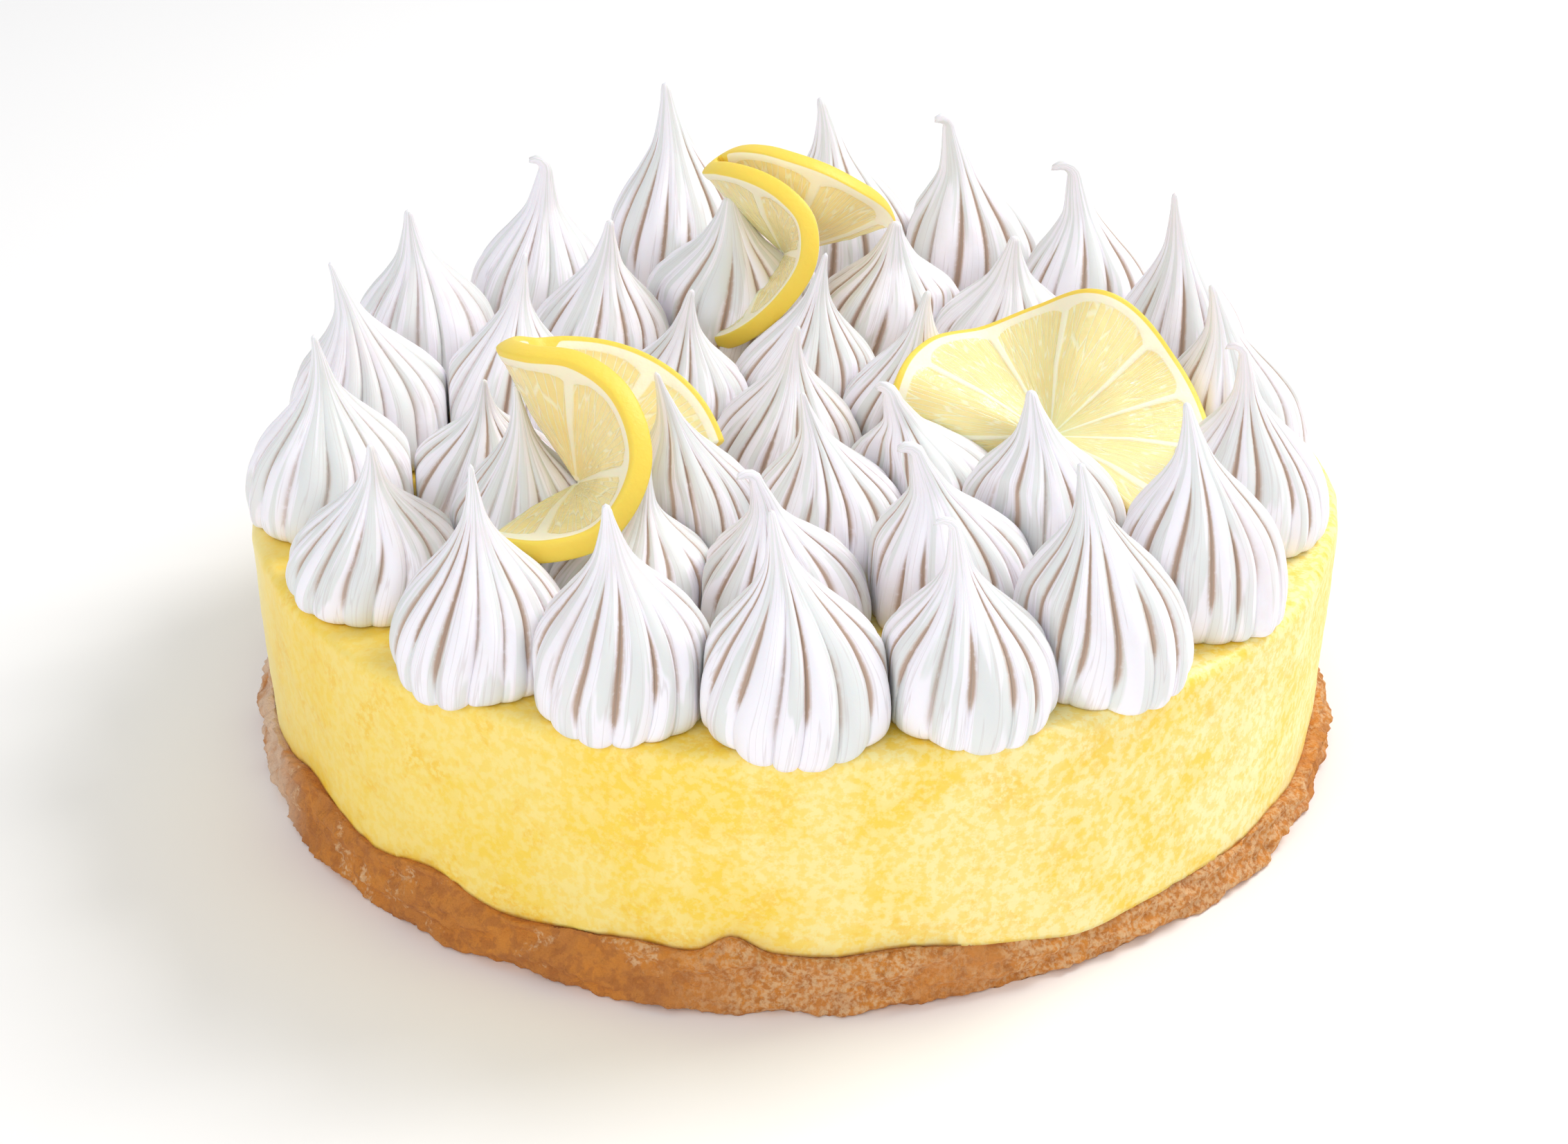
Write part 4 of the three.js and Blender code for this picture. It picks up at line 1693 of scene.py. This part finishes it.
@dataclass
class LemonSlice:
    """A slice cut once from rim to centre and twisted, so that all its radii still meet in the centre.

    The rim gives directions from the centre, from one side of the cut round to the other. The walls are
    the places of its membranes, in turns of the fruit. In a tight fold the rind closes over the pith, and
    the inner face gives way so that it doesn't run into itself.
    """

    node: str
    centre: tuple[float, float, float]
    radius: float
    rind: float
    rim: tuple[tuple[float, float, float], ...]
    walls: tuple[float, ...]
    fold_rind: float = 0.0
    # the section in mm, thinner inside a radius
    thickness: float = 3.8
    thin: float = 14.0
    bulge: float = 0.6
    bulge_power: float = 0.7
    # how far the flesh is sunk, and its grain
    sunk: float = 0.28
    juice: float = 0.16
    sacs: float = 18.0
    sac_length: float = 3.0
    face_apart: float = 5.0
    # the grid
    columns: int = 324
    face_rows: int = 38
    rim_rows: int = 8
    # the bends between which a fold counts as tight, and what its inner face may use of its room
    fold_bends: tuple[float, float] = (1.5, 5.0)
    give: float = 0.9
    give_reach: int = 5
    pattern: CitrusPattern = CitrusPattern()

    def __post_init__(self) -> None:
        """Works out the section, and for every radius its direction, normal, segment and folds."""
        path = RoundedPath([Vector(way).normalized() for way in self.rim])
        self.profile = self.section()
        places = [self.walls[-1] - 1, *self.walls, self.walls[0] + 1]
        counted = [(place, float(number)) for number, place in enumerate(places)]
        self.radii = []
        self.segments = []
        for column in range(self.columns + 1):
            share = column / self.columns
            way = path.at(share).normalized()
            self.radii.append((way, way.cross(path.heading(share)).normalized()))
            self.segments.append(along_table(counted, share))
        bends = [self.bend(column) for column in range(self.columns + 1)]
        self.rooms = [self.room(bends, column) for column in range(self.columns + 1)]
        tightness = [self.give / upper for upper, _ in self.rooms]
        self.folds = [self.fold_rind * ease(*self.fold_bends, tight) for tight in tightness]

    def bend(self, column: int) -> float:
        """How sharply the slice bends at a radius.

        Args:
            column: The radius.

        Returns:
            The sharpness, above 0 where the upper face is the inner one.
        """
        way, normal = self.radii[max(0, column - 1)]
        next_way, next_normal = self.radii[min(self.columns, column + 1)]
        step = next_way - way
        return -(next_normal - normal).dot(step) / step.length_squared

    def room(self, bends: Sequence[float], column: int) -> tuple[float, float]:
        """How thick the slice may be at a radius before the inner face of a tight fold runs into itself.

        Args:
            bends: The bend at every radius.
            column: The radius.

        Returns:
            The most that the upper and the lower face may stand off, per mm of distance from the centre.
        """
        near = bends[max(0, column - self.give_reach) : column + self.give_reach + 1]
        upper, lower = max(0.0, *near), max(0.0, *(-bend for bend in near))
        return self.give / max(upper, self.give), self.give / max(lower, self.give)

    def section(self) -> list[tuple[float, float]]:
        """The section along one radius: out along one face, round the rind and back.

        Returns:
            Distance from the centre and height over the slice's middle, in mm.
        """
        half = self.thickness / 2
        edge = self.radius - self.bulge
        face = []
        for i in range(self.face_rows + 1):
            out = edge * i / self.face_rows
            face.append((out, half * min(1.0, out / self.thin)))
        rind = []
        for i in range(1, self.rim_rows):
            turn = math.pi * i / self.rim_rows
            rind.append((edge + self.bulge * math.sin(turn) ** self.bulge_power, half * math.cos(turn)))
        return [*face, *rind, *((out, -side) for out, side in reversed(face))]

    def fruit_place(self, column: int, row: int) -> Vector:
        """Where a point lies in the fruit.

        Args:
            column: The radius that it is on.
            row: Its place along the section.

        Returns:
            Segments round the fruit, distance from the centre and distance inwards from the rind.
        """
        out, side = self.profile[row]
        folded = self.folds[column] if side > 0 else 0.0
        return Vector((self.segments[column], out, self.radius - self.rind - folded - out))

    def point(self, column: int, row: int) -> Vector:
        """The place of a point, with the flesh sunk a little between its membranes.

        Args:
            column: The radius that it is on.
            row: Its place along the section.

        Returns:
            The point in mm.
        """
        way, normal = self.radii[column]
        out, side = self.profile[row]
        segment, _, inset = self.fruit_place(column, row)
        flesh = (1 - self.pattern.pith_share(segment, out, inset)) * min(1.0, out / self.thin)
        face = 1 if side > 0 else -1
        grain = noise.noise(Vector((segment * self.sacs, out / self.sac_length, face * self.face_apart)))
        side -= face * flesh * (self.sunk - self.juice * grain)
        upper, lower = self.rooms[column]
        side = max(-lower * out, min(upper * out, side))
        return Vector(self.centre) + way * out + normal * side

    def build(self, material: bpy.types.Material) -> None:
        """Builds and places the slice.

        Args:
            material: Its finish.
        """
        surface = Surface(self.columns, len(self.profile) - 1, vectors=("section",))
        surface.wrap(self.point)
        surface.mark("section", self.fruit_place)
        piece = surface.finish(self.node.replace("slice", "twist"), material)
        place_piece(piece, self.node, Slot.LEMON)


@dataclass
class LemonGarnish:
    """The three slices that stand between the kisses."""

    slices: tuple[LemonSlice, ...] = (
        LemonSlice(
            "lemon_slice_left",
            (-37.4, -39, 64.2),
            27.0,
            1.3,
            (
                (0.92, 0.38, 0.1),
                (0.76, 0.55, 0.35),
                (0.32, 0.74, 0.59),
                (-0.08, 0.74, 0.67),
                (-0.33, 0.63, 0.7),
                (-0.42, 0.14, 0.9),
                (-0.24, -0.12, 0.96),
                (0.04, -0.23, 0.97),
                (0.34, -0.44, 0.83),
                (0.47, -0.74, 0.49),
                (0.24, -0.96, 0.13),
                (-0.1, -0.99, 0.02),
                (-0.47, -0.88, 0),
            ),
            (0.14, 0.35, 0.565, 0.755, 0.935),
            fold_rind=2.4,
        ),
        LemonSlice(
            "lemon_slice_back",
            (-2.1, 51, 70.8),
            23.6,
            0.4,
            (
                (0.95, 0.07, 0.31),
                (0.65, -0.27, 0.71),
                (0.36, -0.31, 0.88),
                (0.07, -0.25, 0.97),
                (-0.19, -0.08, 0.97),
                (-0.56, 0.26, 0.78),
                (-0.64, 0.1, 0.76),
                (-0.51, -0.17, 0.84),
                (0, -0.62, 0.78),
                (0.19, -0.78, 0.6),
                (0.2, -0.93, 0.3),
                (0, -1, -0.03),
                (-0.55, -0.61, -0.57),
                (-0.71, -0.3, -0.64),
            ),
            (0.03, 0.175, 0.36, 0.545, 0.7, 0.86),
            fold_rind=3.0,
        ),
        LemonSlice(
            "lemon_slice_right",
            (45.5, -18, 63),
            29.5,
            1.3,
            (
                (-0.81, 0.3, -0.51),
                (-0.98, 0.15, -0.1),
                (-0.96, 0.16, 0.25),
                (-0.77, 0.54, 0.35),
                (-0.37, 0.88, 0.31),
                (0.01, 0.89, 0.47),
                (0.31, 0.69, 0.66),
                (0.43, 0.63, 0.65),
                (0.8, 0.54, 0.27),
                (0.99, 0.11, -0.07),
                (0.82, -0.55, -0.14),
                (0.45, -0.88, -0.16),
            ),
            (0.11, 0.21, 0.36, 0.486, 0.612, 0.7, 0.8, 0.95),
        ),
    )

    def build(self, material: bpy.types.Material) -> None:
        """Builds and places every slice.

        Args:
            material: Their finish.
        """
        for piece in self.slices:
            piece.build(material)


# ---- studio ----


@dataclass(frozen=True)
class Lamp:
    """A square soft light: its place and side in metres, its power in watts and its colour."""

    name: str
    place: tuple[float, float, float]
    size: float
    power: float
    colour: Colour


@dataclass
class Studio:
    """The camera, the soft lights and the pale floor, with sizes in metres."""

    target: tuple[float, float, float] = (-0.00204, 0.0, 0.02556)
    distance: float = 0.466
    elevation: float = 28.59
    focal_pixels: float = 3496.5
    image_width: float = 2265.0
    sensor: float = 36.0
    near_clip: float = 0.01
    floor_size: float = 6.0
    sky: Colour = paint(250, 252, 255)
    sky_strength: float = 0.64
    lamps: tuple[Lamp, ...] = (
        Lamp("key", (0.75, 0.35, 0.95), 0.5, 9.5, paint(255, 253, 250)),
        Lamp("fill", (-0.35, -1.1, 0.7), 1.2, 5.0, paint(255, 255, 255)),
    )

    def camera(self) -> None:
        """Sets up the camera in front of the pie, looking a little down."""
        data = bpy.data.cameras.new("camera")
        data.sensor_width = self.sensor
        data.sensor_fit = "HORIZONTAL"
        data.lens = self.focal_pixels / self.image_width * self.sensor
        data.clip_start = self.near_clip
        tilt = math.radians(self.elevation)
        away = Vector((0, -math.cos(tilt), math.sin(tilt))) * self.distance
        camera = add_object("camera", data)
        camera.location = Vector(self.target) + away
        camera.rotation_euler = (math.pi / 2 - tilt, 0, 0)
        bpy.context.scene.camera = camera

    def hang(self, lamp: Lamp) -> None:
        """Hangs a lamp so that it looks at the pie.

        Args:
            lamp: Its place, size, power and colour.
        """
        data = bpy.data.lights.new(lamp.name, "AREA")
        data.size = lamp.size
        data.energy = lamp.power
        data.color = lamp.colour[:3]
        light = add_object(lamp.name, data)
        light.location = lamp.place
        towards = Vector(self.target) - Vector(lamp.place)
        light.rotation_euler = towards.to_track_quat("-Z", "Y").to_euler()

    def build(self, material: bpy.types.Material) -> None:
        """Builds the studio.

        Args:
            material: The floor's finish.
        """
        self.camera()
        for lamp in self.lamps:
            self.hang(lamp)
        world = bpy.data.worlds.new("studio")
        world.use_nodes = True
        background = world.node_tree.nodes["Background"]
        Shader(world.node_tree).feed(background, {"Color": self.sky, "Strength": self.sky_strength})
        bpy.context.scene.world = world
        bpy.context.scene.view_settings.view_transform = "Standard"
        shape = bmesh.new()
        bmesh.ops.create_grid(shape, x_segments=2, y_segments=2, size=self.floor_size / 2)
        data = bpy.data.meshes.new("floor")
        shape.to_mesh(data)
        shape.free()
        data.materials.append(material)
        floor = add_object("floor", data)


def main() -> None:
    """Builds the pie and the studio."""
    logging.basicConfig(level=logging.INFO, format="%(name)s: %(message)s")
    kit = ShaderKit()
    base = CrumbBase()
    base.build(CrustFinish().build(kit))
    LemonFilling(base).build(FillingFinish().build(kit))
    MeringueCover().build(MeringueFinish().build(kit))
    LemonGarnish().build(LemonFinish().build(kit))
    Studio().build(FloorFinish().build(kit))
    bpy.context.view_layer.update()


if __name__ == "__main__":
    main()
